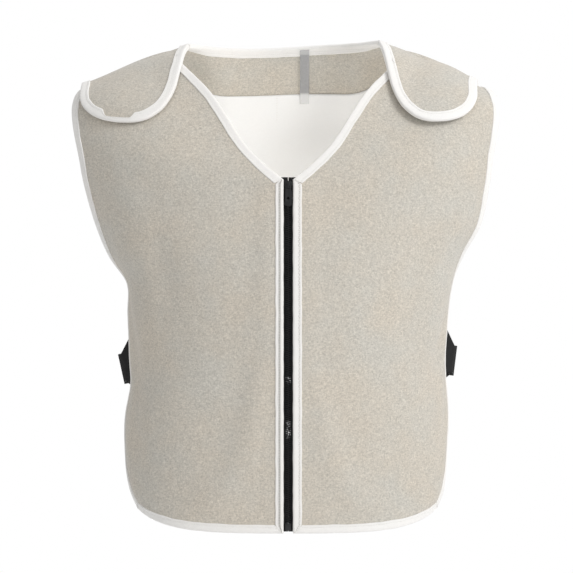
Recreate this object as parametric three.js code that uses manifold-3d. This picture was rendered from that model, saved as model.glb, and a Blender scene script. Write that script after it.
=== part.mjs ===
// Cooling vest: two bound front panels and a back panel whose shoulder flaps lie over the front,
// closed by a zip and joined at the open sides by webbing straps.
// Millimetres, +Z up, the front faces -Y, and left and right are as seen from the front.
// The origin is the middle of the line on which the vest rests on the shoulders.

import * as THREE from 'three';
import { mergeVertices } from 'three/addons/utils/BufferGeometryUtils.js';
import Module from 'manifold-3d';

const wasm = await Module();
wasm.setup();

// Overall sizes: hem to top of the neck, middle to armhole edge, the front and back bulge,
// and how far the line that rests on the shoulders lies below the top
const HEIGHT = 580;
const HALF_WIDTH = 255;
const FRONT_DEPTH = 116;
const BACK_DEPTH = 118;
const REST_DROP = 40;

// Cloth, edge tape and the gap that parts keep
const CLOTH = 3.5;
const BINDING = 0.9;
const BINDING_WIDTH = 10;
const LINING = 1;
const GAP = 0.3;

// Front opening: half the space between the two panel edges
const OPENING_HALF = 7;

// Neck at the back: depth of its middle, how far that is below the top, how far the right side sits above
// the left, and the share of the neck's half width that its curve's handles reach
const NECK_BACK_DEPTH = 62;
const NECK_BACK_DROP = 5;
const NECK_TILT = 4;
const NECK_HANDLE = 0.55;

// Shoulder flaps, one line for each side: their edges at the shoulder line and at their end as shares
// of HALF_WIDTH, and how far the end stands up
const FLAP_SIZES = {
  left: { innerTop: 0.463, innerLow: 0.549, outerTop: 0.957, outerLow: 0.945, tipLift: 1 },
  right: { innerTop: 0.42, innerLow: 0.506, outerTop: 0.878, outerLow: 0.847, tipLift: 6 },
};

// Zip: tape, chain of teeth, slider with its bridge, pull tab and end box.
// The slider and the pull are symmetric, and a HALF is half of a width or a length.
const ZIP_TAPE = 0.8;
const ZIP_TAPE_OUTER = 12;
const ZIP_TAPE_INNER = 1.3;
const ZIP_SEAT = 0.5;
const CHAIN_WIDTH = 5.6;
const CHAIN_THICK = 2.2;
const SLIDER_WIDTH = 9;
const SLIDER_LENGTH = 11;
const SLIDER_PLATE = 1.2;
const SLIDER_DROP = 6;
const BRIDGE_WIDTH = 2.5;
const BRIDGE_BAR = 1.1;
const BRIDGE_ROOM = 2.4;
const BRIDGE_HALF = 2.3;
const POST_HALF = 1;
const PULL_LENGTH = 24;
const PULL_WIDTH = 8;
const PULL_THICK = 1.2;
const PULL_ARM = 1.3;
const ZIP_BOX_START = 1;
const ZIP_BOX_LENGTH = 9;
const ZIP_BOX_WIDTH = 7;

// Side straps, which narrow towards the buckle at their crest. One line for each side gives the height
// of the strap's middle at the front, the buckle and the back, and how far its edges bow out at the buckle.
// The shares say where the strap lies on the front panel and on the back panel.
const STRAP_WIDTH = 50;
const STRAP_CREST_WIDTH = 30;
const STRAP_THICK = 1.6;
const STRAP_ROOM = 0.5;
const STRAP_SIZES = {
  left: { frontHeight: 193, crestHeight: 183, backHeight: 186, topBow: 15, bottomBow: 7 },
  right: { frontHeight: 204, crestHeight: 193, backHeight: 194, topBow: 14, bottomBow: 9 },
};
const STRAP_FRONT_SHARES = [0.8, 0.9, 0.96, 1.02];
const STRAP_BACK_SHARES = [1.02, 0.958, 0.87, 0.79];
const BUCKLE_BAR = 2.6;
const BUCKLE_LENGTH = 7;
const BUCKLE_ROOM = 0.6;

// Grey tape inside the back neck: distance from the middle, and the shares of a row by which it starts
// below the lining's edge and covers the edge tape
const NECK_TAPE_THICK = 0.6;
const NECK_TAPE_START = 14.5;
const NECK_TAPE_WIDTH = 11.5;
const NECK_TAPE_LOW = 0.35;
const NECK_TAPE_HIGH = 0.9;

// Front panel, one row for each height from hem to shoulder, with the middle edge (in) and side edge (out).
// X is a share of HALF_WIDTH, Y of FRONT_DEPTH and Z of HEIGHT. The middle edge's X starts at OPENING_HALF.
// The turns are the row's headings in degrees at either end, and rise says how late the row climbs.
const FRONT_NAMES = ['inX', 'inY', 'inZ', 'outLeft', 'outRight', 'outY', 'outZ', 'inTurn', 'outTurn', 'rise'];
const FRONT_ROWS = [
  [0.000, -0.897, 0.000, 0.690, 0.682, -0.276, 0.036, 3, 62, 3.5],
  [0.000, -0.905, 0.024, 0.729, 0.718, -0.121, 0.069, 3, 74, 3.0],
  [0.000, -0.914, 0.059, 0.753, 0.733, 0.034, 0.110, 3, 84, 2.5],
  [0.000, -0.922, 0.114, 0.761, 0.741, 0.121, 0.162, 2, 90, 2.0],
  [0.000, -0.940, 0.190, 0.765, 0.749, 0.164, 0.228, 2, 92, 1.5],
  [0.000, -0.957, 0.276, 0.757, 0.749, 0.172, 0.307, 1, 92, 1.2],
  [0.000, -0.974, 0.353, 0.745, 0.741, 0.172, 0.369, 0, 92, 1.0],
  [0.000, -0.991, 0.431, 0.747, 0.747, 0.147, 0.434, -1, 92, 1.0],
  [0.000, -1.000, 0.503, 0.749, 0.765, 0.069, 0.495, -2, 90, 1.0],
  [0.000, -1.000, 0.569, 0.831, 0.812, -0.069, 0.552, -2, 72, 1.0],
  [0.000, -0.991, 0.634, 0.890, 0.890, -0.190, 0.617, -1, 58, 1.0],
  [0.000, -0.974, 0.698, 0.937, 0.925, -0.293, 0.693, 0, 50, 1.0],
  [0.090, -0.922, 0.731, 0.961, 0.941, -0.345, 0.752, 2, 46, 1.0],
  [0.176, -0.828, 0.771, 0.984, 0.961, -0.353, 0.803, 5, 42, 1.0],
  [0.255, -0.707, 0.826, 0.996, 0.973, -0.310, 0.843, 8, 38, 1.0],
  [0.333, -0.560, 0.878, 0.992, 0.969, -0.224, 0.869, 10, 32, 1.0],
  [0.420, -0.388, 0.919, 0.980, 0.957, -0.121, 0.884, 10, 24, 1.1],
  [0.486, -0.190, 0.948, 0.969, 0.945, -0.017, 0.891, 8, 14, 1.2],
  [0.518, 0.034, 0.962, 0.957, 0.933, 0.078, 0.893, 4, 4, 1.2],
];
const NECK_CORNER_ROW = FRONT_ROWS.findLastIndex(([inX]) => inX === 0);

// Back panel below the shoulder blades, rows as above with Y a share of BACK_DEPTH
const BACK_NAMES = ['inY', 'inZ', 'outX', 'outY', 'outZ', 'inTurn', 'outTurn', 'rise'];
const BACK_ROWS = [
  [0.847, 0.003, 0.651, 0.559, 0.038, 3, 55, 3.5],
  [0.864, 0.028, 0.690, 0.508, 0.072, 3, 66, 3.0],
  [0.873, 0.066, 0.710, 0.483, 0.114, 3, 72, 2.5],
  [0.881, 0.124, 0.722, 0.466, 0.169, 2, 75, 2.0],
  [0.890, 0.207, 0.725, 0.458, 0.238, 1, 76, 1.5],
  [0.898, 0.293, 0.722, 0.449, 0.314, 0, 76, 1.2],
  [0.915, 0.371, 0.718, 0.449, 0.379, 0, 76, 1.0],
  [0.941, 0.448, 0.722, 0.449, 0.448, 0, 74, 1.0],
  [0.966, 0.521, 0.749, 0.466, 0.514, 0, 70, 1.0],
  [0.992, 0.590, 0.808, 0.508, 0.576, 0, 60, 1.0],
  [1.000, 0.659, 0.859, 0.542, 0.641, 0, 50, 1.0],
  [0.983, 0.724, 0.898, 0.551, 0.707, 0, 44, 1.0],
  [0.941, 0.786, 0.925, 0.517, 0.769, 0, 40, 1.0],
];

// Shares: of a row's chord that its handles reach, of the back that lies below the shoulder blades,
// of the half back that the neck takes, and of the upper back where the lining ends.
// The upper back's curves reach SHOULDER_PULL times their chord.
const ROW_HANDLE = 0.4;
const BACK_LOWER = 0.75;
const NECK_SHARE = 0.5;
const YOKE_SHARE = 0.54;
const SHOULDER_PULL = 1.1;

// Flap outline: its reach over the front as a share of the panel's rows, and how round its end is
const FLAP_REACH = 0.25;
const FLAP_INNER_SIDE = 0.5;
const FLAP_OUTER_SIDE = 0.66;
const FLAP_ROUND = 2.5;
const FLAP_ROOM = 0.8;

// Facets: inner columns of a front panel and of a flap, the back's columns and rows between its edges,
// the flap's rows, and the insets of the edge tapes as shares of a row or a column.
// Above the neck's corner the rows run aslant to the edge, so that the inset is NECK_SLANT times as much.
const FRONT_COLUMNS = 9;
const BACK_HALF_COLUMNS = [0.14, 0.28, 0.4, NECK_SHARE];
const FLAP_COLUMNS = 4;
const FLAP_ROWS = 7;
const HEM_INSET = 0.6;
const BACK_EDGE_INSET = 0.042;
const NECK_INSET = 0.085;
const FLAP_END_INSET = 0.1;
const NECK_SLANT = 1.3;
const ZIP_STEPS = 12;

const STEP = 1e-3;
const SEARCH_PASSES = 30;
const hemZ = REST_DROP - HEIGHT;
const halfCloth = CLOTH / 2;
const bindingTop = halfCloth + GAP + BINDING;
const flapOffset = 2 * bindingTop + GAP + FLAP_ROOM;

// Depths of the zip's faces, forward from the middle of the panels' cloth
const tapeFront = -(bindingTop + ZIP_SEAT);
const chainBack = tapeFront + GAP;
const chainFront = chainBack + CHAIN_THICK;
const plateBack = chainFront + GAP;
const plateFront = plateBack + SLIDER_PLATE;
const rearPlateFront = tapeFront - ZIP_TAPE - GAP;
const pivotDepth = plateFront + BRIDGE_ROOM / 2;

const beige = { color: 0xcbc3b5, roughness: 0.95, metalness: 0 };
const offWhite = { color: 0xf0ede6, roughness: 0.85, metalness: 0 };
const white = { color: 0xf6f5f2, roughness: 0.9, metalness: 0 };
const grey = { color: 0xa9a8a6, roughness: 0.8, metalness: 0 };
const blackCloth = { color: 0x17181a, roughness: 0.85, metalness: 0 };
const blackPlastic = { color: 0x141416, roughness: 0.45, metalness: 0 };
const blackMetal = { color: 0x1b1c1e, roughness: 0.4, metalness: 0.7 };

const vest = new THREE.Group();

function addMesh(name, geometry, finish, parent = vest) {
  const mesh = new THREE.Mesh(geometry, new THREE.MeshStandardMaterial(finish));
  mesh.name = name;
  parent.add(mesh);
  return mesh;
}

// Shares of a smooth curve's start, start slope, end and end slope at f from 0 to 1
function hermite(f) {
  const f2 = f * f;
  const f3 = f2 * f;
  return [2 * f3 - 3 * f2 + 1, f3 - 2 * f2 + f, 3 * f2 - 2 * f3, f3 - f2];
}

// A smooth value between evenly spaced rows
function spline(values, position) {
  const last = values.length - 1;
  const start = Math.min(Math.max(Math.floor(position), 0), last - 1);
  const f = position - start;
  const a = values[start];
  const b = values[start + 1];
  const slopeA = start > 0 ? (b - values[start - 1]) / 2 : b - a;
  const slopeB = start + 2 <= last ? (values[start + 2] - a) / 2 : b - a;
  const [startShare, startPull, endShare, endPull] = hermite(f);
  return a * startShare + slopeA * startPull + b * endShare + slopeB * endPull;
}

// The same, with a sharp corner at one row
function corneredSpline(values, position, corner) {
  if (position < corner) {
    return spline(values.slice(0, corner + 1), position);
  }
  return spline(values.slice(corner), position - corner);
}

function columnsOf(names, rows) {
  return Object.fromEntries(names.map((name, index) => [name, rows.map((row) => row[index])]));
}

const front = columnsOf(FRONT_NAMES, FRONT_ROWS);
const back = columnsOf(BACK_NAMES, BACK_ROWS);
const neckCorner = NECK_CORNER_ROW / (FRONT_ROWS.length - 1);

// A point on a row, from its ends and its headings there in plan; depthSign turns the headings for the back
function rowPoint(inner, outer, inTurn, outTurn, rise, depthSign, u) {
  const handle = ROW_HANDLE * Math.hypot(outer.x - inner.x, outer.y - inner.y);
  const headIn = THREE.MathUtils.degToRad(inTurn);
  const headOut = THREE.MathUtils.degToRad(outTurn);
  const c1 = new THREE.Vector2(inner.x + handle * Math.cos(headIn),
    inner.y + depthSign * handle * Math.sin(headIn));
  const c2 = new THREE.Vector2(outer.x - handle * Math.cos(headOut),
    outer.y - depthSign * handle * Math.sin(headOut));
  const w = 1 - u;
  const x = w * w * w * inner.x + 3 * w * w * u * c1.x + 3 * w * u * u * c2.x + u * u * u * outer.x;
  const y = w * w * w * inner.y + 3 * w * w * u * c1.y + 3 * w * u * u * c2.y + u * u * u * outer.y;
  const share = u < 0 ? rise * u : Math.pow(u, rise);
  return new THREE.Vector3(x, y, inner.z + (outer.z - inner.z) * share);
}

// Front panel: u runs from the middle edge (0) to the side edge (1), v from hem (0) to shoulder (1)
function frontPoint(side, u, v) {
  const t = v * (FRONT_ROWS.length - 1);
  const cornered = (name) => corneredSpline(front[name], t, NECK_CORNER_ROW);
  const outX = spline(side < 0 ? front.outLeft : front.outRight, t);
  const inner = {
    x: OPENING_HALF + cornered('inX') * HALF_WIDTH,
    y: cornered('inY') * FRONT_DEPTH,
    z: cornered('inZ') * HEIGHT,
  };
  const outer = {
    x: outX * HALF_WIDTH,
    y: spline(front.outY, t) * FRONT_DEPTH,
    z: spline(front.outZ, t) * HEIGHT,
  };
  const point = rowPoint(inner, outer, spline(front.inTurn, t), spline(front.outTurn, t),
    spline(front.rise, t), 1, u);
  return new THREE.Vector3(side * point.x, point.y, hemZ + point.z);
}

function frontNormal(side, u, v) {
  const top = Math.min(v + STEP, 1);
  const along = frontPoint(side, u + STEP, v).sub(frontPoint(side, u - STEP, v));
  const up = frontPoint(side, u, top).sub(frontPoint(side, u, top - 2 * STEP));
  return along.cross(up).multiplyScalar(side).normalize();
}

// The share between two limits at which a rising measure reaches a value
function shareWhere(measure, value, from, to) {
  let low = from;
  let high = to;
  for (let pass = 0; pass < SEARCH_PASSES; pass += 1) {
    const middle = (low + high) / 2;
    if (measure(middle) < value) {
      low = middle;
    } else {
      high = middle;
    }
  }
  return (low + high) / 2;
}

// The share u of the front row at v that lies at a given distance from the middle, also past its two ends
const BEFORE_ROW = -0.6;
const AFTER_ROW = 1.2;

function frontShareAt(side, distance, v) {
  return shareWhere((u) => Math.abs(frontPoint(side, u, v).x), distance, BEFORE_ROW, AFTER_ROW);
}

// The share v at which a surface's line of given u lies at a height above the hem
function heightShareAt(surface, u, height) {
  return shareWhere((v) => surface(u, v).z - hemZ, height, 0, neckCorner + STEP);
}

function sizesFor(side, sizes) {
  return side < 0 ? sizes.left : sizes.right;
}

// Shoulder flap: q runs from its inner edge (0) to its outer edge (1), t from the shoulder line (0) to
// its end (1)
function flapPoint(side, q, t) {
  const sizes = sizesFor(side, FLAP_SIZES);
  const across = 2 * q - 1;
  const sideShare = across < 0 ? FLAP_INNER_SIDE : FLAP_OUTER_SIDE;
  const roundPart = Math.pow(1 - Math.pow(Math.abs(across), FLAP_ROUND), 1 / FLAP_ROUND);
  const reach = t * (sideShare + (1 - sideShare) * roundPart);
  const inner = THREE.MathUtils.lerp(sizes.innerTop, sizes.innerLow, reach);
  const outer = THREE.MathUtils.lerp(sizes.outerTop, sizes.outerLow, reach);
  const v = 1 - FLAP_REACH * reach;
  const u = frontShareAt(side, HALF_WIDTH * THREE.MathUtils.lerp(inner, outer, q), v);
  const offset = flapOffset + sizes.tipLift * Math.pow(reach, 3);
  return frontPoint(side, u, v).addScaledVector(frontNormal(side, u, v), offset);
}

// The edge that ends the back: the neck, then the shoulder line where the flap starts
function backTop(side, share) {
  if (share >= NECK_SHARE) {
    return flapPoint(side, (share - NECK_SHARE) / (1 - NECK_SHARE), 0);
  }
  const end = flapPoint(side, 0, 0);
  const middle = new THREE.Vector3(0, NECK_BACK_DEPTH, REST_DROP - NECK_BACK_DROP);
  const reach = Math.abs(end.x) * NECK_HANDLE;
  const c1 = middle.clone().add(new THREE.Vector3(side * reach, 0, side * NECK_TILT));
  const c2 = end.clone().add(new THREE.Vector3(-side * reach / 2, reach / 2, 1));
  return new THREE.CubicBezierCurve3(middle, c1, c2, end).getPoint(share / NECK_SHARE);
}

function backLower(side, share, v) {
  const t = v * (BACK_ROWS.length - 1);
  const inner = { x: 0, y: spline(back.inY, t) * BACK_DEPTH, z: spline(back.inZ, t) * HEIGHT };
  const outer = {
    x: spline(back.outX, t) * HALF_WIDTH,
    y: spline(back.outY, t) * BACK_DEPTH,
    z: spline(back.outZ, t) * HEIGHT,
  };
  const point = rowPoint(inner, outer, spline(back.inTurn, t), spline(back.outTurn, t),
    spline(back.rise, t), -1, share);
  return new THREE.Vector3(side * point.x, point.y, hemZ + point.z);
}

// How the back's surface is heading where it ends: up and forward at the neck, over the shoulder at the flap
const NECK_HEADING = new THREE.Vector3(0, -0.5, 0.87);
const FLAP_HEADING = new THREE.Vector3(0, -0.97, -0.2);

// Back panel: c runs from the left edge (-1) over the middle (0) to the right edge (1), v from hem to top
function backPoint(c, v) {
  const side = c < 0 ? -1 : 1;
  const share = Math.abs(c);
  if (v <= BACK_LOWER) {
    return backLower(side, share, v / BACK_LOWER);
  }
  const start = backLower(side, share, 1);
  const end = backTop(side, share);
  const reach = start.distanceTo(end) * SHOULDER_PULL;
  const startTurn = start.clone().sub(backLower(side, share, 1 - STEP)).setLength(reach);
  const overShoulder = THREE.MathUtils.smoothstep(share, NECK_SHARE * 0.5, NECK_SHARE * 1.2);
  const endTurn = NECK_HEADING.clone().lerp(FLAP_HEADING, overShoulder).setLength(reach);
  const [startShare, startPull, endShare, endPull] = hermite((v - BACK_LOWER) / (1 - BACK_LOWER));
  return start.multiplyScalar(startShare)
    .addScaledVector(startTurn, startPull)
    .addScaledVector(end, endShare)
    .addScaledVector(endTurn, endPull);
}

function backNormal(c, v) {
  const along = backPoint(c + STEP, v).sub(backPoint(c - STEP, v));
  const up = backPoint(c, v + STEP).sub(backPoint(c, v - STEP));
  return up.cross(along).normalize();
}

function pointKey(point) {
  return point.toArray().map((value) => Math.round(value * 1000)).join(',');
}

// A closed mesh from points and triangles: equal points are joined and its faces are turned outwards
function closedGeometry(points, triangles) {
  const indices = new Map();
  const positions = [];
  const joined = points.map((point) => {
    const key = pointKey(point);
    if (!indices.has(key)) {
      indices.set(key, positions.length / 3);
      positions.push(point.x, point.y, point.z);
    }
    return indices.get(key);
  });
  const faces = triangles.map((triangle) => triangle.map((corner) => joined[corner]))
    .filter(([a, b, c]) => a !== b && b !== c && c !== a);
  const corner = (index) => new THREE.Vector3().fromArray(positions, index * 3);
  const volume = faces.reduce((sum, [a, b, c]) => sum + corner(a).dot(corner(b).cross(corner(c))), 0);
  const turned = volume < 0 ? faces.map(([a, b, c]) => [a, c, b]) : faces;
  const geometry = new THREE.BufferGeometry();
  geometry.setAttribute('position', new THREE.Float32BufferAttribute(positions, 3));
  geometry.setIndex(turned.flat());
  return geometry;
}

// The two corner cells of a grid whose usual diagonal misses the corner
function cornerCells(rows) {
  return [[0, rows[0].length - 2], [rows.length - 2, 0]];
}

// A surface of quads whose shared points are one, with a normal at each point
class Sheet {
  constructor() {
    this.points = [];
    this.triangles = [];
    this.indices = new Map();
  }

  indexOf(point) {
    const key = pointKey(point);
    if (!this.indices.has(key)) {
      this.indices.set(key, this.points.length);
      this.points.push(point);
    }
    return this.indices.get(key);
  }

  // Turned cells are split along their other diagonal, as a tape folded round them is
  addGrid(rows, flip, turned = cornerCells(rows)) {
    for (let i = 0; i + 1 < rows.length; i += 1) {
      for (let j = 0; j + 1 < rows[i].length; j += 1) {
        const a = this.indexOf(rows[i][j]);
        const b = this.indexOf(rows[i][j + 1]);
        const c = this.indexOf(rows[i + 1][j + 1]);
        const d = this.indexOf(rows[i + 1][j]);
        const atTurn = turned.some(([row, column]) => row === i && column === j);
        const pair = atTurn ? [[a, b, d], [b, c, d]] : [[a, b, c], [a, c, d]];
        this.triangles.push(...pair.map(([e, f, g]) => (flip ? [e, g, f] : [e, f, g])));
      }
    }
    this.findNormals();
    return this;
  }

  findNormals() {
    this.normals = this.points.map(() => new THREE.Vector3());
    for (const [a, b, c] of this.triangles) {
      const ab = this.points[b].clone().sub(this.points[a]);
      const ac = this.points[c].clone().sub(this.points[a]);
      const turn = ab.cross(ac);
      [a, b, c].forEach((corner) => this.normals[corner].add(turn));
    }
    this.normals.forEach((normal) => normal.normalize());
  }

  offsetPoint(point, distance) {
    return point.clone().addScaledVector(this.normals[this.indexOf(point)], distance);
  }

  // Whether a triangle's side runs between two points
  joins(from, to) {
    const pair = [this.indexOf(from), this.indexOf(to)];
    return this.triangles.some((triangle) => pair.every((index) => triangle.includes(index)));
  }

  // Whether a triangle's side runs from one point to the other in that triangle's own direction
  runs(from, to) {
    const a = this.indexOf(from);
    const b = this.indexOf(to);
    const runsSo = (corners) => corners.some((corner, k) => corner === a && corners[(k + 1) % 3] === b);
    return this.triangles.some(runsSo);
  }

  // Edges that only one triangle uses, as pairs in that triangle's direction
  openEdges() {
    const seen = new Set(this.triangles.flatMap(([a, b, c]) => [`${a}-${b}`, `${b}-${c}`, `${c}-${a}`]));
    const edges = this.triangles.flatMap(([a, b, c]) => [[a, b], [b, c], [c, a]]);
    return edges.filter(([a, b]) => !seen.has(`${b}-${a}`));
  }

  // A closed wall between two distances from the surface
  wall(low, high) {
    const count = this.points.length;
    const outer = this.points.map((point) => this.offsetPoint(point, high));
    const inner = this.points.map((point) => this.offsetPoint(point, low));
    const rim = this.openEdges().flatMap(([a, b]) => [[b, a, a + count], [b, a + count, b + count]]);
    const innerFaces = this.triangles.map(([a, b, c]) => [a + count, c + count, b + count]);
    return closedGeometry([...outer, ...inner], [...this.triangles, ...innerFaces, ...rim]);
  }
}

// A solid through a list of sections with equally many corners, closed by strips of four corners at each end.
// crosses says which strip between two sections is split along its other diagonal.
function loftSections(sections, capStrips, crosses = () => false) {
  const size = sections[0].length;
  const triangles = [];
  for (let i = 0; i + 1 < sections.length; i += 1) {
    for (let j = 0; j < size; j += 1) {
      const next = (j + 1) % size;
      const a = i * size + j;
      const b = i * size + next;
      if (crosses(i, j)) {
        triangles.push([a, b, a + size], [b, b + size, a + size]);
      } else {
        triangles.push([a, b, b + size], [a, b + size, a + size]);
      }
    }
  }
  const lastStart = (sections.length - 1) * size;
  for (const [a, b, c, d] of capStrips) {
    triangles.push([a, c, b], [a, d, c]);
    const [e, f, g, h] = [a, b, c, d].map((corner) => lastStart + corner);
    triangles.push([e, f, g], [e, g, h]);
  }
  return closedGeometry(sections.flat(), triangles);
}

// Edge tape folded round a sheet's edge. Each stop has a point on the edge and one further in.
function foldedBinding(sheet, stops) {
  const trimmed = stops.map((stop) => ({
    edge: stop.edge.clone(),
    inner: stop.inner.clone(),
    edgeNormal: sheet.normals[sheet.indexOf(stop.edge)],
    innerNormal: sheet.normals[sheet.indexOf(stop.inner)],
  }));
  pullBack(trimmed[0], trimmed[1]);
  pullBack(trimmed[trimmed.length - 1], trimmed[trimmed.length - 2]);
  const sections = trimmed.map(({ edge, inner, edgeNormal, innerNormal }) => {
    const outward = edge.clone().sub(inner).normalize();
    const place = (base, normal, height, out) => base.clone().addScaledVector(normal, height)
      .addScaledVector(outward, out);
    const low = halfCloth + GAP;
    const edgeOut = GAP + BINDING;
    return [
      place(inner, innerNormal, low, 0),
      place(inner, innerNormal, bindingTop, 0),
      place(edge, edgeNormal, bindingTop, edgeOut),
      place(edge, edgeNormal, -bindingTop, edgeOut),
      place(inner, innerNormal, -bindingTop, 0),
      place(inner, innerNormal, -low, 0),
      place(edge, edgeNormal, -low, GAP),
      place(edge, edgeNormal, low, GAP),
    ];
  });
  const innerLeads = stops.slice(1).map((next, i) => sheet.joins(stops[i].inner, next.edge));
  const webAhead = stops.slice(1).map((next, i) => sheet.runs(stops[i].edge, next.edge));
  const crosses = (i, j) => {
    if (j === 6) {
      return !webAhead[i];
    }
    return j % 4 === 1 ? !innerLeads[i] : j % 4 === 3 && innerLeads[i];
  };
  return loftSections(sections, [[0, 1, 2, 7], [7, 2, 3, 6], [6, 3, 4, 5]], crosses);
}

// Moves a tape's end stop half a gap towards its neighbour
function pullBack(end, neighbour) {
  const from = neighbour.edge.distanceTo(end.edge) > STEP ? 'edge' : 'inner';
  const along = neighbour[from].clone().sub(end[from]).setLength(GAP / 2);
  end.edge.add(along);
  end.inner.add(along);
}

// Stops for a tape along a path of grid places, with the inner point kept inside the tape's inset lines
function edgeStops(grid, path, rowLimits, columnLimits) {
  return path.map(([row, column]) => ({
    edge: grid[row][column],
    inner: grid[THREE.MathUtils.clamp(row, ...rowLimits)][THREE.MathUtils.clamp(column, ...columnLimits)],
  }));
}

function range(start, end) {
  const step = start <= end ? 1 : -1;
  return Array.from({ length: Math.abs(end - start) + 1 }, (_, index) => start + step * index);
}

// Grid of a front panel: a row for each table row plus the hem tape's inset, columns with both edge insets
function frontGrid(side) {
  const last = FRONT_ROWS.length - 1;
  const rows = [0, HEM_INSET, ...range(1, last)];
  return rows.map((row) => {
    const v = row / last;
    const length = frontPoint(side, 0, v).distanceTo(frontPoint(side, 1, v));
    const slant = row > NECK_CORNER_ROW ? NECK_SLANT : 1;
    const inset = BINDING_WIDTH / length;
    const middle = range(1, FRONT_COLUMNS).map((column) => column / (FRONT_COLUMNS + 1));
    const shares = [0, inset * slant, ...middle, 1 - inset, 1];
    return shares.map((u) => frontPoint(side, u, v));
  });
}

function buildFront(side, word) {
  const grid = frontGrid(side);
  const sheet = new Sheet().addGrid(grid, side < 0);
  const lastRow = grid.length - 1;
  const lastColumn = grid[0].length - 1;
  const corner = NECK_CORNER_ROW + 1;
  const stops = (path) => edgeStops(grid, path, [1, lastRow], [1, lastColumn - 1]);
  const tape = (name, path) => addMesh(`${name}_${word}`, foldedBinding(sheet, stops(path)), offWhite);
  addMesh(`front_panel_${word}`, sheet.wall(-halfCloth, halfCloth), beige);
  tape('opening_binding', range(0, corner).map((row) => [row, 0]));
  tape('neck_binding_front', range(corner, lastRow).map((row) => [row, 0]));
  tape('armhole_binding_front', range(0, lastRow).map((row) => [row, lastColumn]));
  tape('hem_binding_front', range(0, lastColumn).map((column) => [0, column]));
}

function backColumns() {
  const first = NECK_SHARE + BACK_EDGE_INSET;
  const last = 1 - BACK_EDGE_INSET;
  const steps = FLAP_COLUMNS + 1;
  const flapInner = range(0, steps).map((k) => THREE.MathUtils.lerp(first, last, k / steps));
  const half = [...BACK_HALF_COLUMNS, ...flapInner, 1];
  return [...half.map((share) => -share).reverse(), 0, ...half];
}

function backGrids() {
  const last = BACK_ROWS.length - 1;
  const columns = backColumns();
  const lower = [0, HEM_INSET, ...range(1, last)].map((row) => BACK_LOWER * row / last);
  const upper = [YOKE_SHARE / 2, YOKE_SHARE, (1 + YOKE_SHARE) / 2, 1 - NECK_INSET, 1]
    .map((share) => BACK_LOWER + (1 - BACK_LOWER) * share);
  const body = [...lower, ...upper].map((v) => columns.map((c) => backPoint(c, v)));
  const flapCount = columns.filter((c) => c >= NECK_SHARE).length;
  const lengths = [...range(0, FLAP_ROWS - 1).map((k) => k * (1 - FLAP_END_INSET) / (FLAP_ROWS - 1)), 1];
  const flapOn = (side, list) => lengths.map((t, row) => list.map((c) => (
    row === 0 ? backPoint(c, 1) : flapPoint(side, (Math.abs(c) - NECK_SHARE) / (1 - NECK_SHARE), t))));
  return {
    body,
    yokeRow: lower.length + 1,
    flapCount,
    left: flapOn(-1, columns.slice(0, flapCount)),
    right: flapOn(1, columns.slice(columns.length - flapCount)),
  };
}

// The path round a flap's three free sides, from its outer edge to its inner one
function flapPath(rows, outerColumn, innerColumn) {
  return [
    ...range(0, rows - 1).map((row) => [row, outerColumn]),
    ...range(outerColumn, innerColumn).map((column) => [rows, column]),
    ...range(rows - 1, 0).map((row) => [row, innerColumn]),
  ];
}

function buildBack() {
  const grids = backGrids();
  const { body, flapCount } = grids;
  const lastRow = body.length - 1;
  const lastColumn = body[0].length - 1;
  const rightNeck = lastColumn - flapCount + 1;
  const sheet = new Sheet().addGrid(body, true, [...cornerCells(body), [lastRow - 1, rightNeck]])
    .addGrid(grids.left, true)
    .addGrid(grids.right, true);
  const tape = (name, grid, path, ...limits) => addMesh(name,
    foldedBinding(sheet, edgeStops(grid, path, ...limits)), offWhite);
  addMesh('back_panel', sheet.wall(-halfCloth, halfCloth), beige);
  const bodyLimits = [[1, lastRow], [1, lastColumn - 1]];
  const upAt = (column) => range(0, lastRow).map((row) => [row, column]);
  tape('hem_binding_back', body, range(0, lastColumn).map((column) => [0, column]), ...bodyLimits);
  tape('side_binding_back_left', body, upAt(0), ...bodyLimits);
  tape('side_binding_back_right', body, upAt(lastColumn), ...bodyLimits);
  const flapLast = grids.left.length - 1;
  const flapLimits = [[0, flapLast - 1], [1, flapCount - 2]];
  tape('flap_binding_left', grids.left, flapPath(flapLast, 0, flapCount - 1), ...flapLimits);
  tape('flap_binding_right', grids.right, flapPath(flapLast, flapCount - 1, 0), ...flapLimits);
  const neck = range(flapCount - 1, rightNeck).map((column) => [lastRow, column]);
  const neckStops = edgeStops(body, neck, [0, lastRow - 1], [0, lastColumn]);
  const roundEnd = (edge, column) => [lastRow, lastRow - 1].map((row) => ({ edge, inner: body[row][column] }));
  const leftEnd = roundEnd(neckStops[0].edge, flapCount - 2);
  const rightEnd = roundEnd(neckStops[neckStops.length - 1].edge, rightNeck + 1).reverse();
  addMesh('neck_binding_back', foldedBinding(sheet, [...leftEnd, ...neckStops, ...rightEnd]), offWhite);
  buildLining(sheet, body.slice(1, grids.yokeRow + 1).map((row) => row.slice(1, -1)));
  buildNeckTape(sheet, body, grids.yokeRow);
}

// Lining on the inside of the back, set in a little from the edge tapes
function buildLining(sheet, rows) {
  const inward = (point) => sheet.offsetPoint(point, -(halfCloth + GAP + LINING / 2));
  const placed = rows.map((row) => row.map(inward));
  const inset = 3 * GAP;
  const towards = (point, next) => point.add(next.clone().sub(point).setLength(inset));
  placed.forEach((row) => {
    towards(row[0], row[1]);
    towards(row[row.length - 1], row[row.length - 2]);
  });
  placed[0].forEach((point, column) => towards(point, placed[1][column]));
  const lining = new Sheet().addGrid(placed, true, []);
  addMesh('back_lining', lining.wall(-LINING / 2, LINING / 2), white);
}

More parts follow.
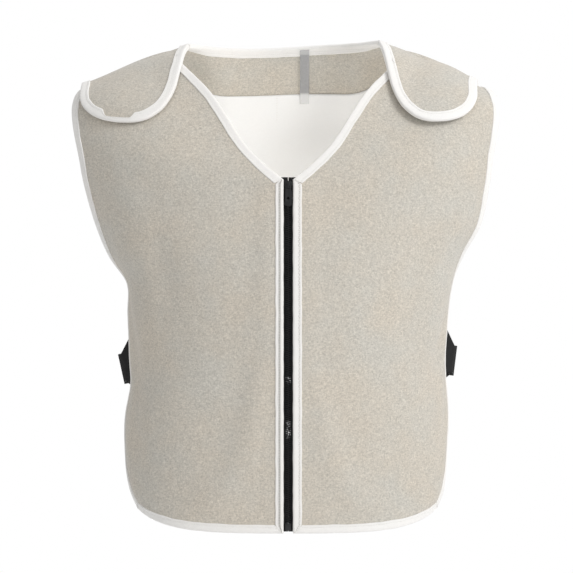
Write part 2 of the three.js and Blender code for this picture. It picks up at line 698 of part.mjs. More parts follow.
function buildNeckTape(sheet, body, yokeRow) {
  const offset = -(bindingTop + 2 * GAP + NECK_TAPE_THICK / 2);
  const middle = (body[0].length - 1) / 2;
  const acrossRow = (row, distance) => {
    const first = sheet.offsetPoint(row[middle], offset);
    const second = sheet.offsetPoint(row[middle + 1], offset);
    return first.lerp(second, (distance - first.x) / (second.x - first.x));
  };
  const edges = [NECK_TAPE_START, NECK_TAPE_START + NECK_TAPE_WIDTH];
  const rows = body.slice(yokeRow - 1).map((row) => edges.map((distance) => acrossRow(row, distance)));
  const last = rows.length - 1;
  rows[0] = rows[0].map((point, k) => point.lerp(rows[1][k], 1 - NECK_TAPE_LOW));
  rows[last] = rows[last].map((point, k) => rows[last - 1][k].clone().lerp(point, NECK_TAPE_HIGH));
  const tape = new Sheet().addGrid(rows, true);
  addMesh('neck_tape', tape.wall(-NECK_TAPE_THICK / 2, NECK_TAPE_THICK / 2), grey);
}

// Middle line of the zip at a share of the panels' height, with its forward normal and upward tangent
function zipStation(v) {
  const at = (share) => {
    const point = frontPoint(1, 0, share);
    return new THREE.Vector3(0, point.y, point.z);
  };
  const tangent = at(Math.min(v + STEP, neckCorner)).sub(at(Math.max(v - STEP, 0))).normalize();
  const normal = new THREE.Vector3(0, -tangent.z, tangent.y);
  return { point: at(v), tangent, normal };
}

// A strip of the zip between two distances across, two depths and two heights
function zipStrip(x0, x1, depth0, depth1, v0, v1, steps) {
  const sections = range(0, steps).map((k) => {
    const { point, normal } = zipStation(THREE.MathUtils.lerp(v0, v1, k / steps));
    return [[x0, depth0], [x1, depth0], [x1, depth1], [x0, depth1]].map(([x, depth]) => (
      point.clone().addScaledVector(normal, depth).setX(x)));
  });
  return loftSections(sections, [[0, 1, 2, 3]]);
}

function solidOf(geometry) {
  const bare = geometry.clone();
  bare.deleteAttribute('normal');
  bare.deleteAttribute('uv');
  const merged = mergeVertices(bare);
  return new wasm.Manifold(new wasm.Mesh({
    numProp: 3,
    vertProperties: new Float32Array(merged.attributes.position.array),
    triVerts: new Uint32Array(merged.index.array),
  }));
}

function geometryOf(solid) {
  const mesh = solid.getMesh();
  const geometry = new THREE.BufferGeometry();
  geometry.setAttribute('position', new THREE.BufferAttribute(mesh.vertProperties, 3));
  geometry.setIndex(new THREE.BufferAttribute(mesh.triVerts, 1));
  return geometry;
}

// A flat piece drawn across (x) and up (z), from one depth in front of the zip's line to another
function frontPlate(shape, depth0, depth1) {
  const settings = { depth: depth1 - depth0, bevelEnabled: false, curveSegments: 6 };
  return new THREE.ExtrudeGeometry(shape, settings).translate(0, 0, depth0).rotateX(Math.PI / 2);
}

function polygon(points) {
  return new THREE.Shape(points.map(([x, y]) => new THREE.Vector2(x, y)));
}

// Outline of a slider plate: wide shoulders above, narrow tail below
function sliderOutline() {
  const half = SLIDER_WIDTH / 2;
  const top = SLIDER_LENGTH / 2;
  return polygon([[-half * 0.7, -top], [half * 0.7, -top], [half * 0.85, -top * 0.2], [half, top * 0.5],
    [half * 0.75, top], [-half * 0.75, top], [-half, top * 0.5], [-half * 0.85, -top * 0.2]]);
}

function bridgeShape() {
  const end = BRIDGE_HALF + BRIDGE_BAR;
  const crest = plateFront + BRIDGE_ROOM + BRIDGE_BAR;
  const foot = plateFront - SLIDER_PLATE / 2;
  const crestHalf = BRIDGE_HALF * 0.8;
  const shape = polygon([[-foot, -end], [-foot, end], [-(crest - BRIDGE_BAR / 2), end], [-crest, crestHalf],
    [-crest, -crestHalf], [-(crest - BRIDGE_BAR / 2), -end]]);
  shape.holes.push(polygon([[-plateFront, -BRIDGE_HALF], [-plateFront, BRIDGE_HALF],
    [-(crest - BRIDGE_BAR), BRIDGE_HALF], [-(crest - BRIDGE_BAR), -BRIDGE_HALF]]));
  return shape;
}

function sliderSolid() {
  const outline = sliderOutline();
  const bridge = new THREE.ExtrudeGeometry(bridgeShape(), { depth: BRIDGE_WIDTH, bevelEnabled: false });
  bridge.translate(0, 0, -BRIDGE_WIDTH / 2);
  bridge.applyMatrix4(new THREE.Matrix4().makeBasis(new THREE.Vector3(0, 1, 0), new THREE.Vector3(0, 0, 1),
    new THREE.Vector3(1, 0, 0)));
  const frontSolid = solidOf(frontPlate(outline, plateBack, plateFront));
  const rear = solidOf(frontPlate(outline, rearPlateFront - SLIDER_PLATE, rearPlateFront));
  const postTop = SLIDER_LENGTH / 2;
  const postShape = polygon([[-POST_HALF, GAP], [POST_HALF, GAP], [POST_HALF, postTop], [-POST_HALF, postTop]]);
  const plateHalf = SLIDER_PLATE / 2;
  const post = solidOf(frontPlate(postShape, rearPlateFront - plateHalf, plateBack + plateHalf));
  return geometryOf(frontSolid.add(rear).add(post).add(solidOf(bridge)));
}

// Pull tab with its eye round the slider's bridge, drawn from the pivot downwards
function pullGeometry() {
  const half = PULL_WIDTH / 2;
  const eye = BRIDGE_WIDTH / 2 + GAP;
  const arm = eye + PULL_ARM;
  const bar = PULL_THICK / 2;
  const eyeEnd = -(BRIDGE_HALF + BRIDGE_BAR + 2 * GAP);
  const bodyTop = eyeEnd - PULL_ARM * 2;
  const roundStart = -(PULL_LENGTH - half * 0.7);
  const shape = new THREE.Shape();
  shape.moveTo(-arm, bar);
  shape.lineTo(-arm, eyeEnd * 0.9);
  shape.lineTo(-half, bodyTop);
  shape.lineTo(-half, roundStart);
  shape.quadraticCurveTo(-half, -PULL_LENGTH, 0, -PULL_LENGTH);
  shape.quadraticCurveTo(half, -PULL_LENGTH, half, roundStart);
  shape.lineTo(half, bodyTop);
  shape.lineTo(arm, eyeEnd * 0.9);
  shape.lineTo(arm, bar);
  shape.holes.push(polygon([[-eye, -bar], [eye, -bar], [eye, eyeEnd], [-eye, eyeEnd]]));
  const finger = new THREE.Path();
  finger.absarc(0, -PULL_LENGTH * 0.62, PULL_WIDTH * 0.2, 0, Math.PI * 2, true);
  shape.holes.push(finger);
  return frontPlate(shape, -bar, bar);
}

function buildZip() {
  const shareAt = (height) => heightShareAt((u, v) => frontPoint(1, u, v), 0, height);
  const strip = (name, across, depths, shares, steps, finish) => {
    addMesh(name, zipStrip(...across, ...depths, ...shares, steps), finish);
  };
  const tapeDepths = [tapeFront - ZIP_TAPE, tapeFront];
  const tapeShares = [0, neckCorner];
  strip('zip_tape_left', [-ZIP_TAPE_OUTER, -ZIP_TAPE_INNER], tapeDepths, tapeShares, ZIP_STEPS, blackCloth);
  strip('zip_tape_right', [ZIP_TAPE_INNER, ZIP_TAPE_OUTER], tapeDepths, tapeShares, ZIP_STEPS, blackCloth);
  const sliderShare = shareAt(frontPoint(1, 0, neckCorner).z - hemZ - SLIDER_DROP);
  const boxEnd = ZIP_BOX_START + ZIP_BOX_LENGTH;
  const chainShares = [shareAt(boxEnd + GAP), sliderShare];
  const boxShares = [shareAt(ZIP_BOX_START), shareAt(boxEnd)];
  const half = CHAIN_WIDTH / 2;
  const boxHalf = ZIP_BOX_WIDTH / 2;
  strip('zip_chain', [-half, half], [chainBack, chainFront], chainShares, ZIP_STEPS, blackPlastic);
  strip('zip_box', [-boxHalf, boxHalf], [chainBack, chainFront + GAP], boxShares, 2, blackPlastic);
  const { point, tangent } = zipStation(sliderShare);
  const slider = new THREE.Group();
  slider.position.copy(point);
  slider.rotation.x = -Math.asin(tangent.y);
  vest.add(slider);
  addMesh('zip_slider', sliderSolid(), blackMetal, slider);
  const pull = addMesh('zip_pull', pullGeometry(), blackMetal, slider);
  pull.position.y = -pivotDepth;
}

// One edge of a strap: tucked inside the front panel, straight out to the buckle, flat through it,
// and laid on the back panel. half is the edge's distance from the middle at either end.
function strapEdge(side, sizes, half, crestHalf, bow) {
  const offset = bindingTop + GAP + STRAP_ROOM + STRAP_THICK / 2;
  const tucked = STRAP_FRONT_SHARES.map((u) => {
    const v = heightShareAt((share, up) => frontPoint(side, share, up), u, sizes.frontHeight + half);
    return frontPoint(side, u, v).addScaledVector(frontNormal(side, u, v), -offset);
  });
  const laid = STRAP_BACK_SHARES.map((share) => {
    const c = side * share;
    const v = heightShareAt(backPoint, c, sizes.backHeight + half);
    return backPoint(c, v).addScaledVector(backNormal(c, v), offset);
  });
  const start = tucked[tucked.length - 1];
  const end = laid[0];
  const crestX = side * (Math.max(Math.abs(start.x), Math.abs(end.x)) + bow);
  const crestZ = hemZ + sizes.crestHeight + crestHalf;
  const flatHalf = BUCKLE_LENGTH / 2 + 1;
  const middle = (start.y + end.y) / 2;
  const crest = [middle - flatHalf, middle + flatHalf].map((y) => new THREE.Vector3(crestX, y, crestZ));
  return [...tucked, ...crest, ...laid];
}

function buildStrap(side, word) {
  const sizes = sizesFor(side, STRAP_SIZES);
  const half = STRAP_WIDTH / 2;
  const crestHalf = STRAP_CREST_WIDTH / 2;
  const top = strapEdge(side, sizes, half, crestHalf, sizes.topBow);
  const bottom = strapEdge(side, sizes, -half, -crestHalf, sizes.bottomBow);
  const sheet = new Sheet().addGrid([bottom, top], side < 0);
  addMesh(`side_strap_${word}`, sheet.wall(-STRAP_THICK / 2, STRAP_THICK / 2), blackCloth);
  const first = STRAP_FRONT_SHARES.length;
  buildBuckle(bottom.slice(first, first + 2), top.slice(first, first + 2), word);
}

// Plain frame round the strap's flat stretch, given as two points on its bottom edge and two on its top edge
function buildBuckle(bottom, top, word) {
  const up = top[0].clone().sub(bottom[0]);
  const along = top[1].clone().sub(top[0]).normalize();
  const outward = along.cross(up).normalize();
  const middle = bottom[0].clone().add(bottom[1]).add(top[0]).add(top[1]).multiplyScalar(1 / 4);
  const roomHigh = up.length() / 2 + BUCKLE_ROOM;
  const roomDeep = STRAP_THICK / 2 + BUCKLE_ROOM;
  const high = roomHigh + BUCKLE_BAR;
  const deep = roomDeep + BUCKLE_BAR / 2;
  const shape = polygon([[-deep, -high], [deep, -high], [deep, high], [-deep, high]]);
  shape.holes.push(polygon([[-roomDeep, -roomHigh], [-roomDeep, roomHigh], [roomDeep, roomHigh],
    [roomDeep, -roomHigh]]));
  const geometry = new THREE.ExtrudeGeometry(shape, { depth: BUCKLE_LENGTH, bevelEnabled: false });
  geometry.translate(0, 0, -BUCKLE_LENGTH / 2);
  const upright = up.normalize();
  const turned = new THREE.Matrix4().makeBasis(outward, upright, outward.clone().cross(upright));
  geometry.applyMatrix4(turned.setPosition(middle));
  addMesh(`side_buckle_${word}`, geometry, blackPlastic);
}

buildFront(-1, 'left');
buildFront(1, 'right');
buildBack();
buildZip();
buildStrap(-1, 'left');
buildStrap(1, 'right');

export default vest;
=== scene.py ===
import math
import bmesh
import bpy
import numpy as np
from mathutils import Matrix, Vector


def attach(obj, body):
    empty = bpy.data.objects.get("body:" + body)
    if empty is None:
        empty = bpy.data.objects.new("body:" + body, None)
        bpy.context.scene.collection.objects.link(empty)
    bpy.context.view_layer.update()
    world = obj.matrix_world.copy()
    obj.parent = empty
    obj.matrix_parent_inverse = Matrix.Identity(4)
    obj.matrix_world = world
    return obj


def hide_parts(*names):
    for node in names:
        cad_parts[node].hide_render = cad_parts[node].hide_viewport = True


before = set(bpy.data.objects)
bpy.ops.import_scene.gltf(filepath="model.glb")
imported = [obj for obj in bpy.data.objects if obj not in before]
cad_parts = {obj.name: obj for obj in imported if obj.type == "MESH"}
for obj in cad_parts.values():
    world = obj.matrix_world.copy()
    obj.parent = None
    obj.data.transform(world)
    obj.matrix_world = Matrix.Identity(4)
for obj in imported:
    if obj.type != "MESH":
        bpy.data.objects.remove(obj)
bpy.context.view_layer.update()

MM = 0.001
BODY = "vest"
PULL_BODY = "zip_pull"
SEED = 7

# Camera: straight in front, level with the middle of the vest
CAMERA_PLACE = (-0.002, -2.6, -0.257)
CAMERA_LENS = 136.1
SENSOR = 36.0
CLIP_END = 50.0

# Studio: each lamp's place, target and size in metres, and its power in watts
MIDDLE = (0.0, 0.0, -0.25)
LAMPS = {
    "key_lamp": ((1.5, -1.7, 0.9), MIDDLE, (0.8, 0.8), 25.0),
    "top_lamp": ((0.3, 0.4, 1.6), MIDDLE, (1.2, 1.2), 6.0),
    "lining_lamp": ((0.0, -0.045, -0.34), (0.0, 0.1, -0.08), (0.09, 0.05), 0.36),
}
# The room's brightness at the left and at the right, and how far back it turns white
ROOM_LEFT, ROOM_RIGHT = 0.51, 0.79
WHITE_FROM, WHITE_TO = 0.55, 0.85
FLOOR_CORNERS = [(-2, -2, -0.9), (2, -2, -0.9), (2, 2, -0.9), (-2, 2, -0.9)]
FLOOR_COLOUR, TRIAL_COLOUR, PLAIN_ROUGHNESS = (0.97, 0.97, 0.97), (0.5, 0.5, 0.5), 0.9
WHITE = (1.0, 1.0, 1.0, 1.0)


def add_camera():
    data = bpy.data.cameras.new("camera")
    data.sensor_width = SENSOR
    data.lens = CAMERA_LENS
    data.clip_end = CLIP_END
    camera = bpy.data.objects.new("camera", data)
    camera.location = CAMERA_PLACE
    camera.rotation_euler = (math.pi / 2, 0.0, 0.0)
    bpy.context.scene.collection.objects.link(camera)
    bpy.context.scene.camera = camera


def add_lamp(name, place, target, size, power):
    data = bpy.data.lights.new(name, "AREA")
    data.shape = "RECTANGLE"
    data.size, data.size_y = size
    data.energy = power
    lamp = bpy.data.objects.new(name, data)
    lamp.location = place
    lamp.rotation_euler = (Vector(target) - Vector(place)).to_track_quat("-Z", "Y").to_euler()
    bpy.context.scene.collection.objects.link(lamp)
    return lamp


def add_studio():
    """Soft key lamp from the upper right, a lamp on the lining, a room white behind and greyer in front."""
    lamps = {name: add_lamp(name, *settings) for name, settings in LAMPS.items()}
    lamps["lining_lamp"].visible_camera = False
    world = bpy.data.worlds.new("white_room")
    bpy.context.scene.world = world
    world.use_nodes = True
    room = Graph(world.node_tree)
    sky = world.node_tree.nodes["Background"]
    way = room.add("ShaderNodeSeparateXYZ")
    room.feed(coordinates(room, "Generated"), way.inputs[0])
    front = room.spread(way.outputs[0], -1.0, 1.0, ROOM_LEFT, ROOM_RIGHT)
    behind = room.spread(way.outputs[1], WHITE_FROM, WHITE_TO)
    ahead = room.maths("MULTIPLY", front, room.maths("SUBTRACT", 1.0, behind))
    room.feed(room.maths("ADD", ahead, behind), sky.inputs["Strength"])
    sky.inputs["Color"].default_value = WHITE
    bpy.context.scene.view_settings.view_transform = "Standard"
    finish = plain_finish("floor_white", FLOOR_COLOUR)
    floor = mesh_object("floor", FLOOR_CORNERS, [(0, 1, 2, 3)], finish, scale=1.0)


def plain_finish(name, colour, roughness=PLAIN_ROUGHNESS):
    material = bpy.data.materials.new(name)
    material.use_nodes = True
    shader = material.node_tree.nodes["Principled BSDF"]
    shader.inputs["Base Color"].default_value = (*colour, 1.0)
    shader.inputs["Roughness"].default_value = roughness
    return material


def mesh_object(name, points, faces, material, uvs=None, scale=MM, smooth=True):
    """A mesh object at the origin. uvs holds a pair for each point."""
    points = np.asarray(points, dtype=float).reshape(-1, 3) * scale
    mesh = bpy.data.meshes.new(name)
    mesh.from_pydata(points.tolist(), [], [tuple(int(i) for i in face) for face in faces])
    mesh.update()
    mesh.materials.append(material)
    if smooth:
        mesh.polygons.foreach_set("use_smooth", np.ones(len(mesh.polygons), dtype=bool))
    if uvs is not None:
        layer = mesh.uv_layers.new(name="cloth")
        corners = np.empty(len(mesh.loops), dtype=np.int32)
        mesh.loops.foreach_get("vertex_index", corners)
        layer.data.foreach_set("uv", np.asarray(uvs, dtype=np.float32)[corners].ravel())
    item = bpy.data.objects.new(name, mesh)
    bpy.context.scene.collection.objects.link(item)
    return item


def place(item, slot, *nodes, body=BODY):
    """Rides a finished piece on its body, in place of CAD nodes. slot, a material slot's name, is not used.
    """
    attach(item, body)
    if nodes:
        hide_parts(*nodes)
    return item


# Sizes of the solids, in millimetres
HEIGHT, HALF_WIDTH, FRONT_DEPTH, BACK_DEPTH, REST_DROP = 580.0, 255.0, 116.0, 118.0, 40.0
CLOTH, BINDING, BINDING_WIDTH, LINING, GAP = 3.5, 0.9, 10.0, 1.0, 0.3
OPENING_HALF = 7.0
NECK_BACK_DEPTH, NECK_BACK_DROP, NECK_TILT = 62.0, 5.0, 4.0
# Shares of the half width
FLAP_SIZES = {
    -1: {"innerTop": 0.463, "innerLow": 0.549, "outerTop": 0.957, "outerLow": 0.945, "tipLift": 1},
    1: {"innerTop": 0.42, "innerLow": 0.506, "outerTop": 0.878, "outerLow": 0.847, "tipLift": 6},
}
ROW_HANDLE, BACK_LOWER, NECK_SHARE, NECK_HANDLE, YOKE_SHARE, SHOULDER_PULL = 0.4, 0.75, 0.5, 0.55, 0.54, 1.1
FLAP_REACH, FLAP_INNER_SIDE, FLAP_OUTER_SIDE, FLAP_ROUND, FLAP_ROOM = 0.25, 0.5, 0.66, 2.5, 0.8
NECK_CORNER_ROW = 11
NECK_END_RISE = 1.0
STEP = 1e-3
HALF_CLOTH = CLOTH / 2
REST_HEIGHT = HEIGHT - REST_DROP
TAPE_TOP = HALF_CLOTH + GAP + BINDING
FLAP_OFFSET = 2 * TAPE_TOP + GAP + FLAP_ROOM

# Rows of the front panel from hem to shoulder, and of the back panel to the shoulder blades, as in the
# solids. Places are shares of the half width, depth and height, turns are degrees.
# Columns: inX, inY, inZ, outLeft, outRight, outY, outZ, inTurn, outTurn, rise
FRONT_ROWS = np.array([
    [0.000, -0.897, 0.000, 0.690, 0.682, -0.276, 0.036, 3, 62, 3.5],
    [0.000, -0.905, 0.024, 0.729, 0.718, -0.121, 0.069, 3, 74, 3.0],
    [0.000, -0.914, 0.059, 0.753, 0.733, 0.034, 0.110, 3, 84, 2.5],
    [0.000, -0.922, 0.114, 0.761, 0.741, 0.121, 0.162, 2, 90, 2.0],
    [0.000, -0.940, 0.190, 0.765, 0.749, 0.164, 0.228, 2, 92, 1.5],
    [0.000, -0.957, 0.276, 0.757, 0.749, 0.172, 0.307, 1, 92, 1.2],
    [0.000, -0.974, 0.353, 0.745, 0.741, 0.172, 0.369, 0, 92, 1.0],
    [0.000, -0.991, 0.431, 0.747, 0.747, 0.147, 0.434, -1, 92, 1.0],
    [0.000, -1.000, 0.503, 0.749, 0.765, 0.069, 0.495, -2, 90, 1.0],
    [0.000, -1.000, 0.569, 0.831, 0.812, -0.069, 0.552, -2, 72, 1.0],
    [0.000, -0.991, 0.634, 0.890, 0.890, -0.190, 0.617, -1, 58, 1.0],
    [0.000, -0.974, 0.698, 0.937, 0.925, -0.293, 0.693, 0, 50, 1.0],
    [0.090, -0.922, 0.731, 0.961, 0.941, -0.345, 0.752, 2, 46, 1.0],
    [0.176, -0.828, 0.771, 0.984, 0.961, -0.353, 0.803, 5, 42, 1.0],
    [0.255, -0.707, 0.826, 0.996, 0.973, -0.310, 0.843, 8, 38, 1.0],
    [0.333, -0.560, 0.878, 0.992, 0.969, -0.224, 0.869, 10, 32, 1.0],
    [0.420, -0.388, 0.919, 0.980, 0.957, -0.121, 0.884, 10, 24, 1.1],
    [0.486, -0.190, 0.948, 0.969, 0.945, -0.017, 0.891, 8, 14, 1.2],
    [0.518, 0.034, 0.962, 0.957, 0.933, 0.078, 0.893, 4, 4, 1.2],
])
# Columns: inY, inZ, outX, outY, outZ, inTurn, outTurn, rise
BACK_ROWS = np.array([
    [0.847, 0.003, 0.651, 0.559, 0.038, 3, 55, 3.5],
    [0.864, 0.028, 0.690, 0.508, 0.072, 3, 66, 3.0],
    [0.873, 0.066, 0.710, 0.483, 0.114, 3, 72, 2.5],
    [0.881, 0.124, 0.722, 0.466, 0.169, 2, 75, 2.0],
    [0.890, 0.207, 0.725, 0.458, 0.238, 1, 76, 1.5],
    [0.898, 0.293, 0.722, 0.449, 0.314, 0, 76, 1.2],
    [0.915, 0.371, 0.718, 0.449, 0.379, 0, 76, 1.0],
    [0.941, 0.448, 0.722, 0.449, 0.448, 0, 74, 1.0],
    [0.966, 0.521, 0.749, 0.466, 0.514, 0, 70, 1.0],
    [0.992, 0.590, 0.808, 0.508, 0.576, 0, 60, 1.0],
    [1.000, 0.659, 0.859, 0.542, 0.641, 0, 50, 1.0],
    [0.983, 0.724, 0.898, 0.551, 0.707, 0, 44, 1.0],
    [0.941, 0.786, 0.925, 0.517, 0.769, 0, 40, 1.0],
])


def unit(vectors):
    return vectors / np.maximum(np.linalg.norm(vectors, axis=-1, keepdims=True), 1e-12)


def smoothstep(x, low, high):
    t = np.clip((x - low) / (high - low), 0.0, 1.0)
    return t * t * (3.0 - 2.0 * t)


def lengths_along(line):
    """The length run at each point of a line."""
    return np.concatenate([[0.0], np.cumsum(np.linalg.norm(np.diff(line, axis=0), axis=-1))])


def read_at(values, run, stops):
    """A line's values at lengths along it."""
    return np.stack([np.interp(stops, run, column) for column in values.T], axis=-1)


def stack(x, y, z):
    return np.stack(np.broadcast_arrays(x, y, z), axis=-1)


def hermite(a, slope_a, b, slope_b, f):
    """A smooth way from a to b that starts and ends with the slopes."""
    f2, f3 = f * f, f * f * f
    return (a * (2 * f3 - 3 * f2 + 1) + slope_a * (f3 - 2 * f2 + f)
            + b * (3 * f2 - 2 * f3) + slope_b * (f3 - f2))


def spline(values, position):
    """Smooth values between evenly spaced rows; a row may hold one value or several."""
    last = len(values) - 1
    position = np.asarray(position, float)
    start = np.clip(np.floor(position).astype(int), 0, last - 1)
    f = position - start
    has_before, has_after = start > 0, start + 2 <= last
    if values.ndim > 1:
        f, has_before, has_after = f[..., None], has_before[..., None], has_after[..., None]
    a, b = values[start], values[start + 1]
    slope_a = np.where(has_before, (b - values[np.maximum(start - 1, 0)]) / 2, b - a)
    slope_b = np.where(has_after, (values[np.minimum(start + 2, last)] - a) / 2, b - a)
    return hermite(a, slope_a, b, slope_b, f)


def cornered(values, position):
    """Like spline, with a sharp corner at the neck's row."""
    corner = NECK_CORNER_ROW
    below = spline(values[:corner + 1], np.minimum(position, corner))
    above = spline(values[corner:], np.maximum(position - corner, 0.0))
    return np.where((position < corner)[..., None], below, above)


def row_point(inner, outer, in_turn, out_turn, rise, depth_sign, u):
    """A point on a row from its ends and its headings there in plan."""
    handle = ROW_HANDLE * np.hypot(outer[0] - inner[0], outer[1] - inner[1])
    head_in, head_out = np.radians(in_turn), np.radians(out_turn)
    c1 = (inner[0] + handle * np.cos(head_in), inner[1] + depth_sign * handle * np.sin(head_in))
    c2 = (outer[0] - handle * np.cos(head_out), outer[1] - depth_sign * handle * np.sin(head_out))
    w = 1 - u
    x, y = (w**3 * inner[k] + 3 * w * w * u * c1[k] + 3 * w * u * u * c2[k] + u**3 * outer[k] for k in (0, 1))
    share = np.where(u < 0, rise * u, np.power(np.maximum(u, 0.0), rise))
    return x, y, inner[2] + (outer[2] - inner[2]) * share


def front_row(side, v):
    """The two ends of the front's row at v, with its headings and rise."""
    t = v * (len(FRONT_ROWS) - 1)
    near = cornered(FRONT_ROWS[:, :3], t) * (HALF_WIDTH, FRONT_DEPTH, HEIGHT)
    far = spline(FRONT_ROWS[:, 3:], t)
    inner = (OPENING_HALF + near[..., 0], near[..., 1], near[..., 2])
    outer = (far[..., 0 if side < 0 else 1] * HALF_WIDTH, far[..., 2] * FRONT_DEPTH, far[..., 3] * HEIGHT)
    return inner, outer, far[..., 4], far[..., 5], far[..., 6]


# How far the strap draws the front's side edge in, the height of its middle and its reach, in millimetres
SIDE_PULL = {-1: (6.5, 166.0, 32.0), 1: (3.8, 180.0, 34.0)}
# Shares of the panel's width between which that pull grows
PULL_FROM, PULL_TO = 0.45, 0.9


def side_pull(side, z):
    """How far the side edge is drawn in at a height above the hem."""
    depth, middle, reach = SIDE_PULL[side]
    return depth * np.exp(-((z - middle) / reach) ** 2)


def front_point(side, u, v):
    u, v = np.broadcast_arrays(np.asarray(u, float), np.asarray(v, float))
    x, y, z = row_point(*front_row(side, v), 1, u)
    x = x - side_pull(side, z) * smoothstep(u, PULL_FROM, PULL_TO)
    return stack(side * x, y, z - REST_HEIGHT)


def surface_normal(surface, a, b, turn):
    """The outward normal of a surface; turn is -1 where its two directions run the other way round."""
    high = np.minimum(np.asarray(b, float) + STEP, 1.0)
    along = surface(a + STEP, b) - surface(a - STEP, b)
    up = surface(a, high) - surface(a, high - 2 * STEP)
    return unit(np.cross(along, up)) * turn


def front_normal(side, u, v):
    return surface_normal(lambda a, b: front_point(side, a, b), u, v, side)


# Where a search by halving starts, and its steps
SHARE_LOWEST, SHARE_HIGHEST, SHARE_STEPS = -0.6, 1.2, 26
HEIGHT_HIGHEST, HEIGHT_STEPS = 0.7, 30


def front_share_at(side, distance, v):
    """The share u of the front row at v that lies at a distance from the middle."""
    distance, v = np.broadcast_arrays(np.asarray(distance, float), np.asarray(v, float))
    row = front_row(side, v)
    low, high = np.full(v.shape, SHARE_LOWEST), np.full(v.shape, SHARE_HIGHEST)
    for _ in range(SHARE_STEPS):
        middle = (low + high) / 2
        inside = row_point(*row, 1, middle)[0] < distance
        low, high = np.where(inside, middle, low), np.where(inside, high, middle)
    return (low + high) / 2


def height_share_at(surface, u, height):
    """The share v of a surface's line at u that lies at a height above the hem."""
    low, high = 0.0, HEIGHT_HIGHEST
    for _ in range(HEIGHT_STEPS):
        middle = (low + high) / 2
        if surface(u, middle)[..., 2] + REST_HEIGHT < height:
            low = middle
        else:
            high = middle
    return (low + high) / 2


def flap_reach(q, t):
    """How far down the front a place of the flap reaches, as a share of the flap's middle line."""
    across = 2 * q - 1
    side_share = np.where(across < 0, FLAP_INNER_SIDE, FLAP_OUTER_SIDE)
    round_part = np.power(np.maximum(1 - np.abs(across) ** FLAP_ROUND, 0.0), 1 / FLAP_ROUND)
    return t * (side_share + (1 - side_share) * round_part)


def flap_on_front(side, q, t):
    """Where a place of the flap lies on the front panel's surface."""
    sizes = FLAP_SIZES[side]
    reach = flap_reach(np.asarray(q, float), np.asarray(t, float))
    inner_x = (sizes["innerTop"] + (sizes["innerLow"] - sizes["innerTop"]) * reach) * HALF_WIDTH
    outer_x = (sizes["outerTop"] + (sizes["outerLow"] - sizes["outerTop"]) * reach) * HALF_WIDTH
    v = 1 - FLAP_REACH * reach
    return front_share_at(side, inner_x + (outer_x - inner_x) * q, v), v


def over_front(side, u, v):
    """The flap's surface, over the front panel's."""
    reach = (1 - v) / FLAP_REACH
    offset = FLAP_OFFSET + FLAP_SIZES[side]["tipLift"] * np.maximum(reach, 0.0) ** 3
    return front_point(side, u, v) + front_normal(side, u, v) * offset[..., None]


def flap_point(side, q, t):
    u, v = flap_on_front(side, q, t)
    return over_front(side, u, v)


def back_lower(side, share, v):
    row = spline(BACK_ROWS, v * (len(BACK_ROWS) - 1))
    inner = (np.zeros_like(row[..., 0]), row[..., 0] * BACK_DEPTH, row[..., 1] * HEIGHT)
    outer = (row[..., 2] * HALF_WIDTH, row[..., 3] * BACK_DEPTH, row[..., 4] * HEIGHT)
    x, y, z = row_point(inner, outer, row[..., 5], row[..., 6], row[..., 7], -1, share)
    return stack(side * x, y, z - REST_HEIGHT)


def bezier(p0, p1, p2, p3, f):
    f = np.asarray(f)[..., None]
    w = 1 - f
    return w**3 * p0 + 3 * w * w * f * p1 + 3 * w * f * f * p2 + f**3 * p3


# The shoulder line where a flap starts, read many times
SHOULDER_STEPS = 400
SHOULDER_LINES = {side: flap_point(side, np.linspace(0, 1, SHOULDER_STEPS + 1), np.zeros(SHOULDER_STEPS + 1))
                  for side in (-1, 1)}


def back_top(side, share):
    """The edge that ends the back: the neck, then the shoulder line where the flap starts."""
    line = SHOULDER_LINES[side]
    end = line[0]
    middle = np.array([0.0, NECK_BACK_DEPTH, REST_DROP - NECK_BACK_DROP])
    reach = abs(end[0]) * NECK_HANDLE
    c1 = middle + np.array([side * reach, 0.0, side * NECK_TILT])
    c2 = end + np.array([-side * reach / 2, reach / 2, NECK_END_RISE])
    neck = bezier(middle, c1, c2, end, np.minimum(share / NECK_SHARE, 1.0))
    flap = spline(line, np.maximum((share - NECK_SHARE) / (1 - NECK_SHARE), 0.0) * SHOULDER_STEPS)
    return np.where((share >= NECK_SHARE)[..., None], flap, neck)


# Headings of the back where it ends at the neck and where it runs over the shoulder, and the shares between
# which one turns into the other
NECK_HEADING, SHOULDER_HEADING = np.array([0, -0.5, 0.87]), np.array([0, -0.97, -0.2])
OVER_FROM, OVER_TO = NECK_SHARE * 0.5, NECK_SHARE * 1.2


def back_half(side, share, v):
    lower = back_lower(side, share, np.minimum(v / BACK_LOWER, 1.0))
    start = back_lower(side, share, np.ones_like(v))
    end = back_top(side, share)
    reach = np.linalg.norm(end - start, axis=-1, keepdims=True) * SHOULDER_PULL
    start_turn = unit(start - back_lower(side, share, np.full_like(v, 1 - STEP))) * reach
    over = smoothstep(share, OVER_FROM, OVER_TO)[..., None]
    end_turn = unit(NECK_HEADING * (1 - over) + SHOULDER_HEADING * over) * reach
    f = (np.maximum(v - BACK_LOWER, 0.0) / (1 - BACK_LOWER))[..., None]
    return np.where((v <= BACK_LOWER)[..., None], lower, hermite(start, start_turn, end, end_turn, f))


def back_point(c, v):
    """A point of the back: c runs from the left edge (-1) to the right edge (1), v from hem to top."""
    c, v = np.broadcast_arrays(np.asarray(c, float), np.asarray(v, float))
    share = np.abs(c)
    return np.where((c < 0)[..., None], back_half(-1, share, v), back_half(1, share, v))


def back_normal(c, v):
    return surface_normal(back_point, c, v, -1.0)


